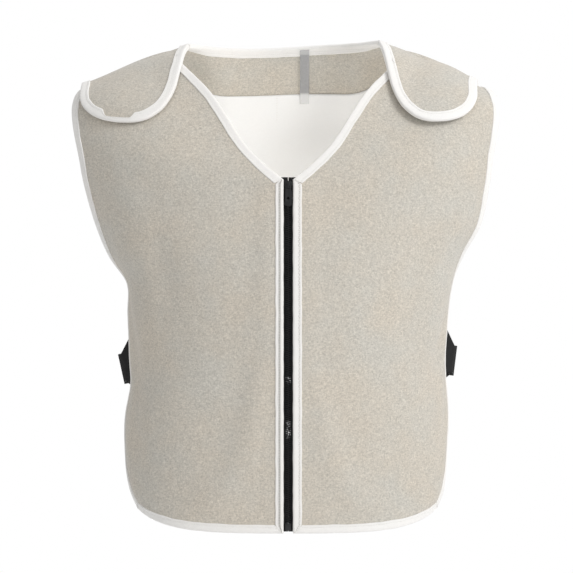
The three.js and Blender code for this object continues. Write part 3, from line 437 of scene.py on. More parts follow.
class Graph:
    """Builds a node tree with few words."""

    def __init__(self, tree):
        self.tree = tree

    def add(self, kind, **settings):
        node = self.tree.nodes.new(kind)
        for name, value in settings.items():
            setattr(node, name, value)
        return node

    def feed(self, value, socket):
        if isinstance(value, bpy.types.NodeSocket):
            self.tree.links.new(value, socket)
        else:
            socket.default_value = value

    def maths(self, operation, a, b=0.0):
        node = self.add("ShaderNodeMath", operation=operation)
        self.feed(a, node.inputs[0])
        self.feed(b, node.inputs[1])
        return node.outputs[0]

    def scaled(self, vector, scale):
        node = self.add("ShaderNodeVectorMath", operation="MULTIPLY")
        self.feed(vector, node.inputs[0])
        node.inputs[1].default_value = scale
        return node.outputs[0]

    def noise(self, vector, scale, detail=2.0, roughness=0.5):
        node = self.add("ShaderNodeTexNoise")
        self.feed(vector, node.inputs["Vector"])
        node.inputs["Scale"].default_value = scale
        node.inputs["Detail"].default_value = detail
        node.inputs["Roughness"].default_value = roughness
        return node.outputs["Fac"]

    def spread(self, value, low, high, to_low=0.0, to_high=1.0):
        node = self.add("ShaderNodeMapRange")
        self.feed(value, node.inputs["Value"])
        for name, setting in (("From Min", low), ("From Max", high), ("To Min", to_low), ("To Max", to_high)):
            node.inputs[name].default_value = setting
        return node.outputs["Result"]

    def mix(self, factor, first, second, blend="MIX"):
        node = self.add("ShaderNodeMix", data_type="RGBA", blend_type=blend)
        self.feed(factor, node.inputs[0])
        self.feed(first, node.inputs[6])
        self.feed(second, node.inputs[7])
        return node.outputs[2]

    def wave(self, vector, scale, direction, distortion=0.0):
        node = self.add("ShaderNodeTexWave", wave_type="BANDS", bands_direction=direction)
        self.feed(vector, node.inputs["Vector"])
        node.inputs["Scale"].default_value = scale
        node.inputs["Distortion"].default_value = distortion
        return node.outputs["Fac"]


# The cloth's grain: scale, detail and roughness of each noise, its stretch and its share of the height
ACROSS, ACROSS_STRETCH, ACROSS_SHARE = (300.0, 3.0, 0.65), (1.0, 1.0, 2.0), 0.38
UPWARD, UPWARD_STRETCH, UPWARD_SHARE = (340.0, 3.0, 0.65), (1.8, 1.8, 1.0), 0.32
FINE, FINE_SHARE = (900.0, 2.0, 0.6), 0.3
PATCHES = (14.0, 3.0, 0.6)
# The noise's values that become 0 and 1 in a mask
SPECKLE_BAND, PATCH_BAND = (0.34, 0.66), (0.35, 0.65)


def grain_group():
    """Fine fibres and soft patches in one group: a speckle mask, a patch mask and a height."""
    group = bpy.data.node_groups.new("cloth_grain", "ShaderNodeTree")
    face = group.interface
    face.new_socket(name="Place", in_out="INPUT", socket_type="NodeSocketVector")
    for name in ("Speckle", "Patch", "Height"):
        face.new_socket(name=name, in_out="OUTPUT", socket_type="NodeSocketFloat")
    graph = Graph(group)
    place_in = graph.add("NodeGroupInput").outputs["Place"]
    across = graph.noise(graph.scaled(place_in, ACROSS_STRETCH), *ACROSS)
    upward = graph.noise(graph.scaled(place_in, UPWARD_STRETCH), *UPWARD)
    fine = graph.noise(place_in, *FINE)
    across = graph.maths("MULTIPLY", across, ACROSS_SHARE)
    upward = graph.maths("MULTIPLY", upward, UPWARD_SHARE)
    fibres = graph.maths("ADD", across, upward)
    speckle = graph.maths("ADD", fibres, graph.maths("MULTIPLY", fine, FINE_SHARE))
    patch = graph.noise(place_in, *PATCHES)
    out = graph.add("NodeGroupOutput")
    graph.feed(graph.spread(speckle, *SPECKLE_BAND), out.inputs["Speckle"])
    graph.feed(graph.spread(patch, *PATCH_BAND), out.inputs["Patch"])
    graph.feed(speckle, out.inputs["Height"])
    return group


def finish_of(name, roughness, metallic=0.0, sheen=0.0):
    material = bpy.data.materials.new(name)
    material.use_nodes = True
    shader = material.node_tree.nodes["Principled BSDF"]
    shader.inputs["Roughness"].default_value = roughness
    shader.inputs["Metallic"].default_value = metallic
    shader.inputs["Sheen Weight"].default_value = sheen
    shader.inputs["Sheen Roughness"].default_value = SHEEN_ROUGHNESS
    return material, Graph(material.node_tree), shader


def coordinates(graph, name):
    return graph.add("ShaderNodeTexCoord").outputs[name]


def bump(graph, shader, height):
    """Relief from a height in metres."""
    node = graph.add("ShaderNodeBump")
    node.inputs["Distance"].default_value = 1.0
    node.inputs["Strength"].default_value = 1.0
    graph.feed(height, node.inputs["Height"])
    graph.feed(node.outputs["Normal"], shader.inputs["Normal"])


def grain(graph, group):
    node = graph.add("ShaderNodeGroup", node_tree=group)
    graph.feed(coordinates(graph, "Object"), node.inputs["Place"])
    return node.outputs["Speckle"], node.outputs["Patch"], node.outputs["Height"]


# Stripes on a piece's own map: its axis, from, to and blur in metres, amount and colour.
# They are painted shade in the groove beside the left opening's edge and the light ends of the neck tape.
GROOVE_SHADE = (0, 0.0034, 0.0073, 0.0003, 0.40, (0.30, 0.30, 0.29))
TAPE_ENDS = (
    (1, -0.01, 0.0135, 0.0015, 0.97, (0.99, 0.99, 0.99)),
    (1, 0.0655, 0.09, 0.0008, 0.45, (0.93, 0.93, 0.93)),
)
ROUGHNESS_SWAY, RIB_DISTORTION, SHEEN_ROUGHNESS = 0.06, 0.4, 0.6


def tint(colour, factor):
    return (colour[0] * factor, colour[1] * factor, colour[2] * factor, 1.0)


def cloth_material(name, group, colour, contrast, patches, roughness, sheen, depth, rib=None, rib_depth=0.0,
                   bands=(), alpha=None):
    """Woven or brushed cloth: fibres lighter and darker than the colour, soft patches, ribs and stripes.
    rib is the ribs' scale, direction and amount on the piece's own map. depth and rib_depth are metres."""
    material, graph, shader = finish_of(name, roughness, sheen=sheen)
    speckle, patch, height = grain(graph, group)
    base = graph.mix(speckle, tint(colour, 1 - contrast), tint(colour, 1 + contrast))
    warm = (1 + patches, 1.0, 1 - patches, 1.0)
    cool = (1 - patches, 1.0, 1 + patches, 1.0)
    base = graph.mix(1.0, base, graph.mix(patch, warm, cool), "MULTIPLY")
    roughest = min(roughness + ROUGHNESS_SWAY, 1.0)
    rough = graph.spread(speckle, 0.0, 1.0, roughness - ROUGHNESS_SWAY, roughest)
    graph.feed(rough, shader.inputs["Roughness"])
    relief = graph.maths("MULTIPLY", height, depth)
    if rib:
        scale, direction, amount = rib
        ribs = graph.wave(coordinates(graph, "UV"), scale, direction, RIB_DISTORTION)
        base = graph.mix(graph.maths("MULTIPLY", ribs, amount), base, tint(colour, 1 - 2 * contrast))
        relief = graph.maths("SUBTRACT", relief, graph.maths("MULTIPLY", ribs, rib_depth))
    if bands:
        across = graph.add("ShaderNodeSeparateXYZ")
        graph.feed(coordinates(graph, "UV"), across.inputs[0])
        for axis, start, end, blur, amount, other in bands:
            rise = graph.spread(across.outputs[axis], start - blur, start + blur)
            fall = graph.spread(across.outputs[axis], end - blur, end + blur, 1.0, 0.0)
            mask = graph.maths("MULTIPLY", graph.maths("MULTIPLY", rise, fall), amount)
            base = graph.mix(mask, base, tint(other, 1.0))
    if alpha is not None:
        shader.inputs["Alpha"].default_value = alpha
    graph.feed(base, shader.inputs["Base Color"])
    bump(graph, shader, relief)
    return material


# Heights where painted highlights (glints) sit on the zip's teeth: middle and reach in metres
PAINTED_TEETH_GLINTS = ((-0.4215, 0.011), (-0.3645, 0.004))
GLINT_COLOUR = (0.7, 0.7, 0.7, 1.0)
# Scale, detail and roughness of the rubbed places and of the painted glint spots, and their values from 0 to
# 1
RUBS, RUB_BAND = (260.0, 4.0, 0.7), (0.55, 0.75)
GLINT_SPOTS, GLINT_SPOT_BAND, GLINT_CORE = (800.0, 1.0, 0.4), (0.54, 0.58), 0.6
GRAIN_SCALE, GRAIN_DEPTH = 2200.0, 0.00003
RUBBED_LIGHTER, RUBBED_ROUGHER = 4.0, 0.18


def hard_material(name, colour, roughness, metallic, wear, bright=()):
    """Moulded plastic or painted metal with fine grain and rubbed places, and painted highlights (glints) as
    light spots at the heights given.
    """
    material, graph, shader = finish_of(name, roughness, metallic)
    place_in = coordinates(graph, "Object")
    rubbed = graph.spread(graph.noise(place_in, *RUBS), *RUB_BAND)
    base = graph.mix(graph.maths("MULTIPLY", rubbed, wear), tint(colour, 1.0), tint(colour, RUBBED_LIGHTER))
    parts = graph.add("ShaderNodeSeparateXYZ")
    graph.feed(place_in, parts.inputs[0])
    # Painted highlights: glint spots mixed into the colour near each given height.
    for middle, reach in bright:
        distance = graph.maths("ABSOLUTE", graph.maths("SUBTRACT", parts.outputs[2], middle))
        near = graph.spread(distance, reach * GLINT_CORE, reach, 1.0, 0.0)
        spots = graph.spread(graph.noise(place_in, *GLINT_SPOTS), *GLINT_SPOT_BAND)
        base = graph.mix(graph.maths("MULTIPLY", near, spots), base, GLINT_COLOUR)
    graph.feed(base, shader.inputs["Base Color"])
    rough = graph.spread(rubbed, 0.0, 1.0, roughness, roughness + RUBBED_ROUGHER)
    graph.feed(rough, shader.inputs["Roughness"])
    bump(graph, shader, graph.maths("MULTIPLY", graph.noise(place_in, GRAIN_SCALE), GRAIN_DEPTH))
    return material


def make_materials():
    """Every finish by a plain name. A cloth's numbers are contrast, patches, roughness, sheen and depth,
    and a hard finish's are roughness, metallic and wear."""
    group = grain_group()
    cloth = lambda name, *settings, **more: cloth_material(name, group, *settings, **more)
    off_white = ((0.89, 0.873, 0.847), 0.04, 0.006, 0.85, 0.2, 0.00006)
    twill = {"rib": (900.0, "DIAGONAL", 0.25), "rib_depth": 0.00005}
    return {
        "body_cloth": cloth("oat_heather_cloth", (0.555, 0.517, 0.452), 0.32, 0.022, 0.93, 0.2, 0.0005),
        "edge_tape": cloth("off_white_tape", *off_white, **twill),
        # This tape's grey band in its groove is painted shade.
        "grooved_tape": cloth("off_white_grooved_tape", *off_white, **twill, bands=(GROOVE_SHADE,)),
        "lining_cloth": cloth("white_lining", (0.93, 0.93, 0.925), 0.02, 0.003, 0.9, 0.2, 0.00005,
                              rib=(420.0, "X", 0.18), rib_depth=0.00006),
        "grey_tape": cloth("grey_neck_tape", (0.52, 0.525, 0.54), 0.08, 0.004, 0.8, 0.1, 0.00008,
                           rib=(700.0, "Y", 0.3), rib_depth=0.00005, bands=TAPE_ENDS, alpha=0.5),
        "zip_cloth": cloth("black_zip_cloth", (0.008, 0.008, 0.009), 0.3, 0.0, 0.85, 0.04, 0.00005,
                           rib=(500.0, "X", 0.6), rib_depth=0.00012),
        "webbing": cloth("black_webbing", (0.006, 0.006, 0.0065), 0.35, 0.0, 0.8, 0.05, 0.00006,
                         rib=(330.0, "Y", 0.6), rib_depth=0.00018),
        "thread": cloth("off_white_thread", (0.80, 0.785, 0.75), 0.06, 0.0, 0.7, 0.1, 0.00003),
        "dark_thread": cloth("grey_brown_thread", (0.38, 0.36, 0.32), 0.1, 0.0, 0.7, 0.1, 0.00003),
        # The teeth get painted highlights (glints) at two heights.
        "zip_teeth": hard_material("black_zip_teeth", (0.008, 0.008, 0.009), 0.3, 0.0, 0.2, PAINTED_TEETH_GLINTS),
        "zip_metal": hard_material("black_painted_metal", (0.012, 0.012, 0.013), 0.34, 0.3, 0.25),
        "buckle_plastic": hard_material("black_buckle_plastic", (0.010, 0.010, 0.011), 0.45, 0.0, 0.2),
    }


# Cloth panels. Each is a grid on its surface with the shape that a cloth simulation gives its middle.
PANEL_ROWS, PANEL_COLUMNS = 150, 84
TRIAL_ROWS, TRIAL_COLUMNS = 61, 41
TRIAL_FRAMES = 20
SAG_LIMIT, SAG_SMOOTHING = 3.2, 3
CLOTH_SETTINGS = {
    "quality": 6, "mass": 0.4, "tension_stiffness": 30.0, "compression_stiffness": 30.0,
    "shear_stiffness": 15.0, "bending_stiffness": 8.0, "vertex_group_mass": "held", "shrink_min": -0.004,
}
# Distances from an edge between which the cloth comes free of it, in millimetres
HELD_EDGE = 16.0
HELD_TO, FREE_FROM = 0.35 * HELD_EDGE, 2.2 * HELD_EDGE
# Heights between which the front's relief fades under the flap, below the shoulder rest
UNDER_FLAP = (-150.0, -105.0)


def quads_of(index, flip):
    """The faces between the neighbours of a grid of point numbers."""
    a, b, c, d = index[:-1, :-1], index[:-1, 1:], index[1:, 1:], index[1:, :-1]
    return np.stack([a, d, c, b] if flip else [a, b, c, d], axis=-1).reshape(-1, 4).tolist()


def grid_faces(rows, columns, flip):
    return quads_of(np.arange(rows * columns).reshape(rows, columns), flip)


def open_edges(faces):
    """Edges that only one face uses, each in that face's direction."""
    used = {(face[k], face[(k + 1) % len(face)]) for face in faces for k in range(len(face))}
    return [edge for edge in used if (edge[1], edge[0]) not in used]


def wall_object(name, points, normals, faces, low, high, material, uvs):
    """A closed wall between two distances from a surface."""
    count = len(points)
    both = np.vstack([points + normals * high, points + normals * low])
    inner = [tuple(reversed([i + count for i in face])) for face in faces]
    rim = [(b, a, a + count, b + count) for a, b in sorted(open_edges(faces))]
    return mesh_object(name, both, faces + inner + rim, material, np.vstack([uvs, uvs]))


def grid_normals(points, turn):
    along = np.gradient(points, axis=1)
    up = np.gradient(points, axis=0)
    return unit(np.cross(along, up)) * turn


def grid_lengths(points):
    """The distance run along each row and up each column, in metres, as a map of the cloth."""
    along = np.linalg.norm(np.diff(points, axis=1), axis=-1)
    up = np.linalg.norm(np.diff(points, axis=0), axis=-1)
    across = np.concatenate([np.zeros((len(points), 1)), np.cumsum(along, axis=1)], axis=1)
    height = np.concatenate([np.zeros((1, points.shape[1])), np.cumsum(up, axis=0)], axis=0)
    return np.stack([across, height], axis=-1) * MM


def resampled(values, rows, columns):
    """A coarse grid of values read at even places of a finer grid."""
    place_rows = np.linspace(0, values.shape[0] - 1, rows)
    place_columns = np.linspace(0, values.shape[1] - 1, columns)
    tall = np.array([spline(values[:, j], place_rows) for j in range(values.shape[1])]).T
    return np.array([spline(line, place_columns) for line in tall])


def smoothed(values, passes):
    for _ in range(passes):
        wide = np.pad(values, 1, mode="edge")
        values = (wide[:-2, 1:-1] + wide[2:, 1:-1] + wide[1:-1, :-2] + wide[1:-1, 2:] + 2 * values) / 6
    return values


def drape(name, points, held, turn):
    """How far a cloth simulation moves each point of a grid along its normal, in millimetres."""
    rows, columns = points.shape[:2]
    blank = plain_finish("trial_" + name, TRIAL_COLOUR)
    trial = mesh_object("trial_" + name, points, grid_faces(rows, columns, False), blank)
    group = trial.vertex_groups.new(name="held")
    for index, weight in enumerate(np.asarray(held).ravel()):
        group.add([index], float(weight), "REPLACE")
    cloth = trial.modifiers.new("drape", "CLOTH")
    for setting, value in CLOTH_SETTINGS.items():
        setattr(cloth.settings, setting, value)
    cloth.collision_settings.use_collision = False
    scene = bpy.context.scene
    for number in range(1, TRIAL_FRAMES + 1):
        scene.frame_set(number)
    settled = trial.evaluated_get(bpy.context.evaluated_depsgraph_get()).to_mesh()
    moved = np.empty(rows * columns * 3)
    settled.vertices.foreach_get("co", moved)
    moved = moved.reshape(rows, columns, 3) / MM
    bpy.data.objects.remove(trial)
    scene.frame_set(1)
    shift = ((moved - points) * grid_normals(points, turn)).sum(axis=-1)
    return np.round(smoothed(SAG_LIMIT * np.tanh(shift / SAG_LIMIT), SAG_SMOOTHING), 2)


def edge_mask(points):
    """0 at a grid's edges and 1 where the cloth is free of them."""
    lengths = grid_lengths(points) / MM
    across, height = lengths[..., 0], lengths[..., 1]
    from_sides = np.minimum(across, across[:, -1:] - across)
    from_ends = np.minimum(height, height[-1:] - height)
    return smoothstep(np.minimum(from_sides, from_ends), HELD_TO, FREE_FROM)


def dents(points, table):
    """Soft hollows (below 0) and rises: place across and up, reach across and up, tilt and depth."""
    total = np.zeros(points.shape[:-1])
    for x, z, wide, tall, tilt, depth in table:
        angle = math.radians(tilt)
        dx, dz = points[..., 0] - x, points[..., 2] - z
        across = dx * math.cos(angle) + dz * math.sin(angle)
        up = dz * math.cos(angle) - dx * math.sin(angle)
        total += depth * np.exp(-(across / wide) ** 2 - (up / tall) ** 2)
    return total


# Place across and height, reach across and up, tilt in degrees and depth, all in millimetres
FRONT_DENTS = {
    -1: [(-150, -220, 16, 70, 8, -2.0), (-60, -330, 20, 90, -6, -1.2), (-120, -440, 26, 60, 14, 1.4)],
    1: [(150, -230, 16, 60, -10, -1.6), (70, -300, 22, 90, 5, 1.3), (120, -450, 24, 60, -12, -1.4)],
}


def front_grid(side, rows, columns):
    v, u = np.meshgrid(np.linspace(0, 1, rows), np.linspace(0, 1, columns), indexing="ij")
    return front_point(side, u, v)


def build_front(side, word, materials):
    """A front panel: the surface with the simulation's sag and the listed dents, as a closed wall."""
    coarse = front_grid(side, TRIAL_ROWS, TRIAL_COLUMNS)
    shift = drape(f"front_{word}", coarse, 1 - edge_mask(coarse), side)
    points = front_grid(side, PANEL_ROWS, PANEL_COLUMNS)
    below_flap = 1 - smoothstep(points[..., 2], *UNDER_FLAP)
    relief = resampled(shift, PANEL_ROWS, PANEL_COLUMNS) + dents(points, FRONT_DENTS[side])
    relief = relief * edge_mask(points) * below_flap
    points = points + grid_normals(points, side) * relief[..., None]
    normals = grid_normals(points, side)
    panel = wall_object(f"front_cloth_{word}", points.reshape(-1, 3), normals.reshape(-1, 3),
                        grid_faces(PANEL_ROWS, PANEL_COLUMNS, side < 0), -HALF_CLOTH, HALF_CLOTH,
                        materials["body_cloth"], grid_lengths(points).reshape(-1, 2))
    return place(panel, "body_cloth", f"front_panel_{word}")


BACK_GRID_ROWS, NECK_COLUMNS, FLAP_COLUMNS, FLAP_GRID_ROWS = 150, 26, 34, 44
YOKE_V = BACK_LOWER + (1 - BACK_LOWER) * YOKE_SHARE
# Shares of the back's height between which the trial's free cloth and the finished relief fade
TRIAL_FADE, RELIEF_FADE = (0.72, 0.86), (0.74, 0.88)
# Shares of the flap's size between which its dents grow, from its edge inwards
FLAP_FADE, FLAP_SIDE_SHARE = (0.02, 0.3), 1.2
BACK_DENTS = [(-90, -160, 30, 110, 8, -1.6), (80, -300, 40, 120, -8, 1.6), (20, -420, 60, 40, 0, -1.2)]
FLAP_DENTS = {
    -1: [(-150, -10, 26, 50, 30, -1.2), (-205, -35, 22, 34, 0, 1.0)],
    1: [(158, 12, 15, 60, -28, -3.6), (196, -14, 24, 40, 0, 1.8), (122, 8, 14, 44, -20, 1.2)],
}


def flap_shares(count):
    """Even places for the flap's columns, closer together towards both of its edges."""
    return 0.5 - 0.5 * np.cos(np.pi * np.arange(count + 1) / count)


def back_columns():
    neck = NECK_SHARE * np.arange(1, NECK_COLUMNS + 1) / NECK_COLUMNS
    flap = NECK_SHARE + (1 - NECK_SHARE) * flap_shares(FLAP_COLUMNS)[1:]
    half = np.concatenate([neck, flap])
    return np.concatenate([-half[::-1], [0.0], half])


def vertex_normals(points, faces):
    faces = np.asarray(faces)
    turns = np.cross(points[faces[:, 2]] - points[faces[:, 0]], points[faces[:, 3]] - points[faces[:, 1]])
    total = np.zeros_like(points)
    for corner in range(4):
        np.add.at(total, faces[:, corner], turns)
    return unit(total)


def back_body(columns):
    """The back's grid up to the shoulders, with the simulation's sag and the listed dents."""
    v, c = np.meshgrid(np.linspace(0, 1, BACK_GRID_ROWS), columns, indexing="ij")
    body = back_point(c, v)
    trial_columns = np.linspace(-1, 1, 2 * TRIAL_COLUMNS - 1)
    trial_v, trial_c = np.meshgrid(np.linspace(0, 1, TRIAL_ROWS), trial_columns, indexing="ij")
    coarse = back_point(trial_c, trial_v)
    free = edge_mask(coarse) * (1 - smoothstep(trial_v, *TRIAL_FADE))
    shift = resampled(drape("back", coarse, 1 - free, -1), BACK_GRID_ROWS, 4 * len(trial_columns))
    even = np.linspace(-1, 1, shift.shape[1])
    shift = np.array([np.interp(columns, even, line) for line in shift])
    relief = (shift + dents(body, BACK_DENTS)) * edge_mask(body) * (1 - smoothstep(v, *RELIEF_FADE))
    return body + grid_normals(body, -1) * relief[..., None]


def flap_grid(side, shares, shoulder):
    """A flap's rows below the shoulder line, with its dents."""
    t, q = np.meshgrid(np.linspace(0, 1, FLAP_GRID_ROWS + 1)[1:], shares, indexing="ij")
    flap = flap_point(side, q, t)
    edge = np.minimum(flap_reach(q, 1.0) - flap_reach(q, t), np.minimum(q, 1 - q) * FLAP_SIDE_SHARE)
    lift = dents(flap, FLAP_DENTS[side]) * smoothstep(edge, *FLAP_FADE)
    normals = grid_normals(np.concatenate([shoulder[None], flap]), -1)
    return flap + normals[1:] * lift[..., None]


class BackCloth:
    """The back panel's grid with both flaps, its faces, normals and map."""

    def __init__(self):
        self.columns = back_columns()
        self.body = back_body(self.columns)
        lengths = grid_lengths(self.body)
        rows, count = self.body.shape[:2]
        self.faces = grid_faces(rows, count, True)
        self.points, self.maps = self.body.reshape(-1, 3), lengths.reshape(-1, 2)
        last_row = (rows - 1) * count
        ends = {-1: np.arange(FLAP_COLUMNS + 1), 1: np.arange(count - FLAP_COLUMNS - 1, count)}
        for side, picked in ends.items():
            self.add_flap(side, picked, last_row + picked, lengths[-1, picked])
        self.normals = vertex_normals(self.points, self.faces)

    def add_flap(self, side, picked, seam, seam_map):
        """Joins a flap to the picked columns. seam holds the last row's point numbers, seam_map their map."""
        shares = (np.abs(self.columns[picked]) - NECK_SHARE) / (1 - NECK_SHARE)
        shoulder = self.body[-1, picked]
        flap = flap_grid(side, shares, shoulder)
        both = np.concatenate([shoulder[None], flap])
        rise = np.cumsum(np.linalg.norm(np.diff(both, axis=0), axis=-1), axis=0) * MM
        across = np.broadcast_to(seam_map[:, 0], rise.shape)
        numbers = len(self.points) + np.arange(rise.size).reshape(rise.shape)
        self.points = np.vstack([self.points, flap.reshape(-1, 3)])
        flap_map = np.stack([across, seam_map[:, 1] + rise], axis=-1)
        self.maps = np.vstack([self.maps, flap_map.reshape(-1, 2)])
        self.faces += quads_of(np.vstack([seam, numbers]), True)

    def body_normals(self):
        rows, count = self.body.shape[:2]
        return self.normals[:rows * count].reshape(rows, count, 3)


def build_back(materials):
    cloth = BackCloth()
    panel = wall_object("back_cloth", cloth.points, cloth.normals, cloth.faces, -HALF_CLOTH, HALF_CLOTH,
                        materials["body_cloth"], cloth.maps)
    place(panel, "body_cloth", "back_panel")
    return panel, cloth


# Where the lining starts above the hem and how far it reaches to the sides, as shares of the back
LINING_START, LINING_REACH = 0.037, 0.955


def build_lining(cloth, materials):
    """White lining inside the back, from the hem tape to the yoke line."""
    v = np.linspace(0, 1, BACK_GRID_ROWS)
    kept_rows = np.flatnonzero((v > LINING_START) & (v < YOKE_V))
    kept_columns = np.flatnonzero(np.abs(cloth.columns) < LINING_REACH)
    grid = np.ix_(kept_rows, kept_columns)
    offset = HALF_CLOTH + GAP + LINING / 2
    inner = cloth.body[grid] - cloth.body_normals()[grid] * offset
    c, yoke = cloth.columns[kept_columns], np.full(len(kept_columns), YOKE_V)
    top = back_point(c, yoke) - back_normal(c, yoke) * offset
    inner = np.concatenate([inner, top[None]])
    normals = grid_normals(inner, -1)
    lining = wall_object("lining_cloth", inner.reshape(-1, 3), normals.reshape(-1, 3),
                         grid_faces(*inner.shape[:2], True), -LINING / 2, LINING / 2,
                         materials["lining_cloth"], grid_lengths(inner).reshape(-1, 2))
    return place(lining, "lining_cloth", "back_lining")


# Neck tape: its thickness, its place beside the middle and its width in millimetres, and the shares of the
# back's height that it runs between
NECK_TAPE_THICK, NECK_TAPE_START, NECK_TAPE_WIDTH = 0.6, 14.5, 11.5
NECK_TAPE_FROM, NECK_TAPE_TO = 0.861, 0.9975
NECK_TAPE_ROWS, NECK_TAPE_COLUMNS, NECK_TAPE_SEARCH = 40, 9, 80


def build_neck_tape(materials):
    """The grey tape inside the back of the neck."""
    shares = np.linspace(0, NECK_SHARE, NECK_TAPE_SEARCH)
    distances = NECK_TAPE_START + NECK_TAPE_WIDTH * np.linspace(0, 1, NECK_TAPE_COLUMNS)
    offset = TAPE_TOP + 2 * GAP + NECK_TAPE_THICK / 2
    lines = []
    for v in np.linspace(NECK_TAPE_FROM, NECK_TAPE_TO, NECK_TAPE_ROWS):
        up = np.full_like(shares, v)
        line = back_point(shares, up) - back_normal(shares, up) * offset
        lines.append(read_at(line, line[:, 0], distances))
    grid = np.array(lines)
    tape = wall_object("neck_tape_cloth", grid.reshape(-1, 3), grid_normals(grid, -1).reshape(-1, 3),
                       grid_faces(*grid.shape[:2], True), -NECK_TAPE_THICK / 2, NECK_TAPE_THICK / 2,
                       materials["grey_tape"], grid_lengths(grid).reshape(-1, 2))
    return place(tape, "grey_tape", "neck_tape")


# Edge tapes: a leg on each face of the cloth, joined by a rounded fold.
# Each row is a share of the leg's width from its free edge to the fold, and how far the face stands up there.
PLAIN_LEG = np.array([
    [0.00, -1.05], [0.02, -0.30], [0.06, 0.14], [0.14, 0.22], [0.24, 0.00], [0.34, -0.20], [0.44, -0.10],
    [0.60, 0.06], [0.76, 0.16], [0.88, 0.20], [1.00, 0.06],
])
GROOVED_LEG = np.array([
    [0.00, -1.05], [0.02, -0.20], [0.08, 0.26], [0.20, 0.30], [0.31, 0.20], [0.36, -0.42], [0.54, -0.50],
    [0.69, -0.42], [0.74, 0.20], [0.86, 0.42], [1.00, 0.10],
])
FOLD_ANGLES = np.radians([66, 44, 22, 0, -22, -44, -66])
FOLD_REACH = 1.7
TAPE_ROOM = 0.12
TAPE_STATION = 2.2
FAN_STEPS = 9
MITRE_ROOM, MITRE_FOLD = 0.15, 1.12
PLACING_STEPS = 4
# Wavering of a tape's width, of its fold and of its face: wavelengths and reach in millimetres
WIDTH_WAVES, FOLD_WAVES, FACE_WAVES = ((61, 23, 37), 0.35), ((47, 19, 29), 0.18), ((53, 17), 0.07)
WAVE_FADE = 12.0


def ripple(run, wavelengths, reach, seed):
    """A smooth wavering value along a length that fades at both ends."""
    rng = np.random.default_rng(seed)
    waves = sum(np.sin(2 * np.pi * run / length + rng.uniform(0, 2 * np.pi)) for length in wavelengths)
    fade = smoothstep(np.minimum(run - run[0], run[-1] - run), 0.0, WAVE_FADE)
    return reach * waves / len(wavelengths) * fade


def partials(surface, places):
    a, b = places[..., 0], places[..., 1]
    return ((surface(a + STEP, b) - surface(a - STEP, b)) / (2 * STEP),
            (surface(a, b + STEP) - surface(a, b - STEP)) / (2 * STEP))


def place_step(surface, places, move):
    """The change of place on a surface that comes closest to a move in space."""
    toward_a, toward_b = partials(surface, places)
    aa, ab, bb = (toward_a**2).sum(-1), (toward_a * toward_b).sum(-1), (toward_b**2).sum(-1)
    ra, rb = (toward_a * move).sum(-1), (toward_b * move).sum(-1)
    det = aa * bb - ab * ab
    return np.stack([(ra * bb - rb * ab) / det, (rb * aa - ra * ab) / det], axis=-1)


def normals_at(surface, places):
    return unit(np.cross(*partials(surface, places)))


def even_places(surface, path, spacing):
    """A path of places on a surface at even distances, and the length run at each."""
    run = lengths_along(surface(path[:, 0], path[:, 1]))
    stops = np.linspace(0, run[-1], max(int(round(run[-1] / spacing)), 2) + 1)
    return read_at(path, run, stops), stops


def closed_loft(name, rings, material, maps):
    """A closed body through rings of equally many points."""
    count, size = rings.shape[:2]
    index = np.arange(count * size).reshape(count, size)
    around = np.roll(index, -1, axis=1)
    quads = np.stack([index[:-1], around[:-1], around[1:], index[1:]], axis=-1).reshape(-1, 4)
    corners = rings.reshape(-1, 3)[quads]
    centre = corners.mean(axis=(0, 1))
    arms = corners - centre
    volume = sum((arms[:, 0] * np.cross(arms[:, k], arms[:, k + 1])).sum() for k in (1, 2))
    faces = quads.tolist() + [index[0, ::-1].tolist(), index[-1].tolist()]
    if volume < 0:
        faces = [face[::-1] for face in faces]
    return mesh_object(name, rings.reshape(-1, 3), faces, material, maps.reshape(-1, 2))


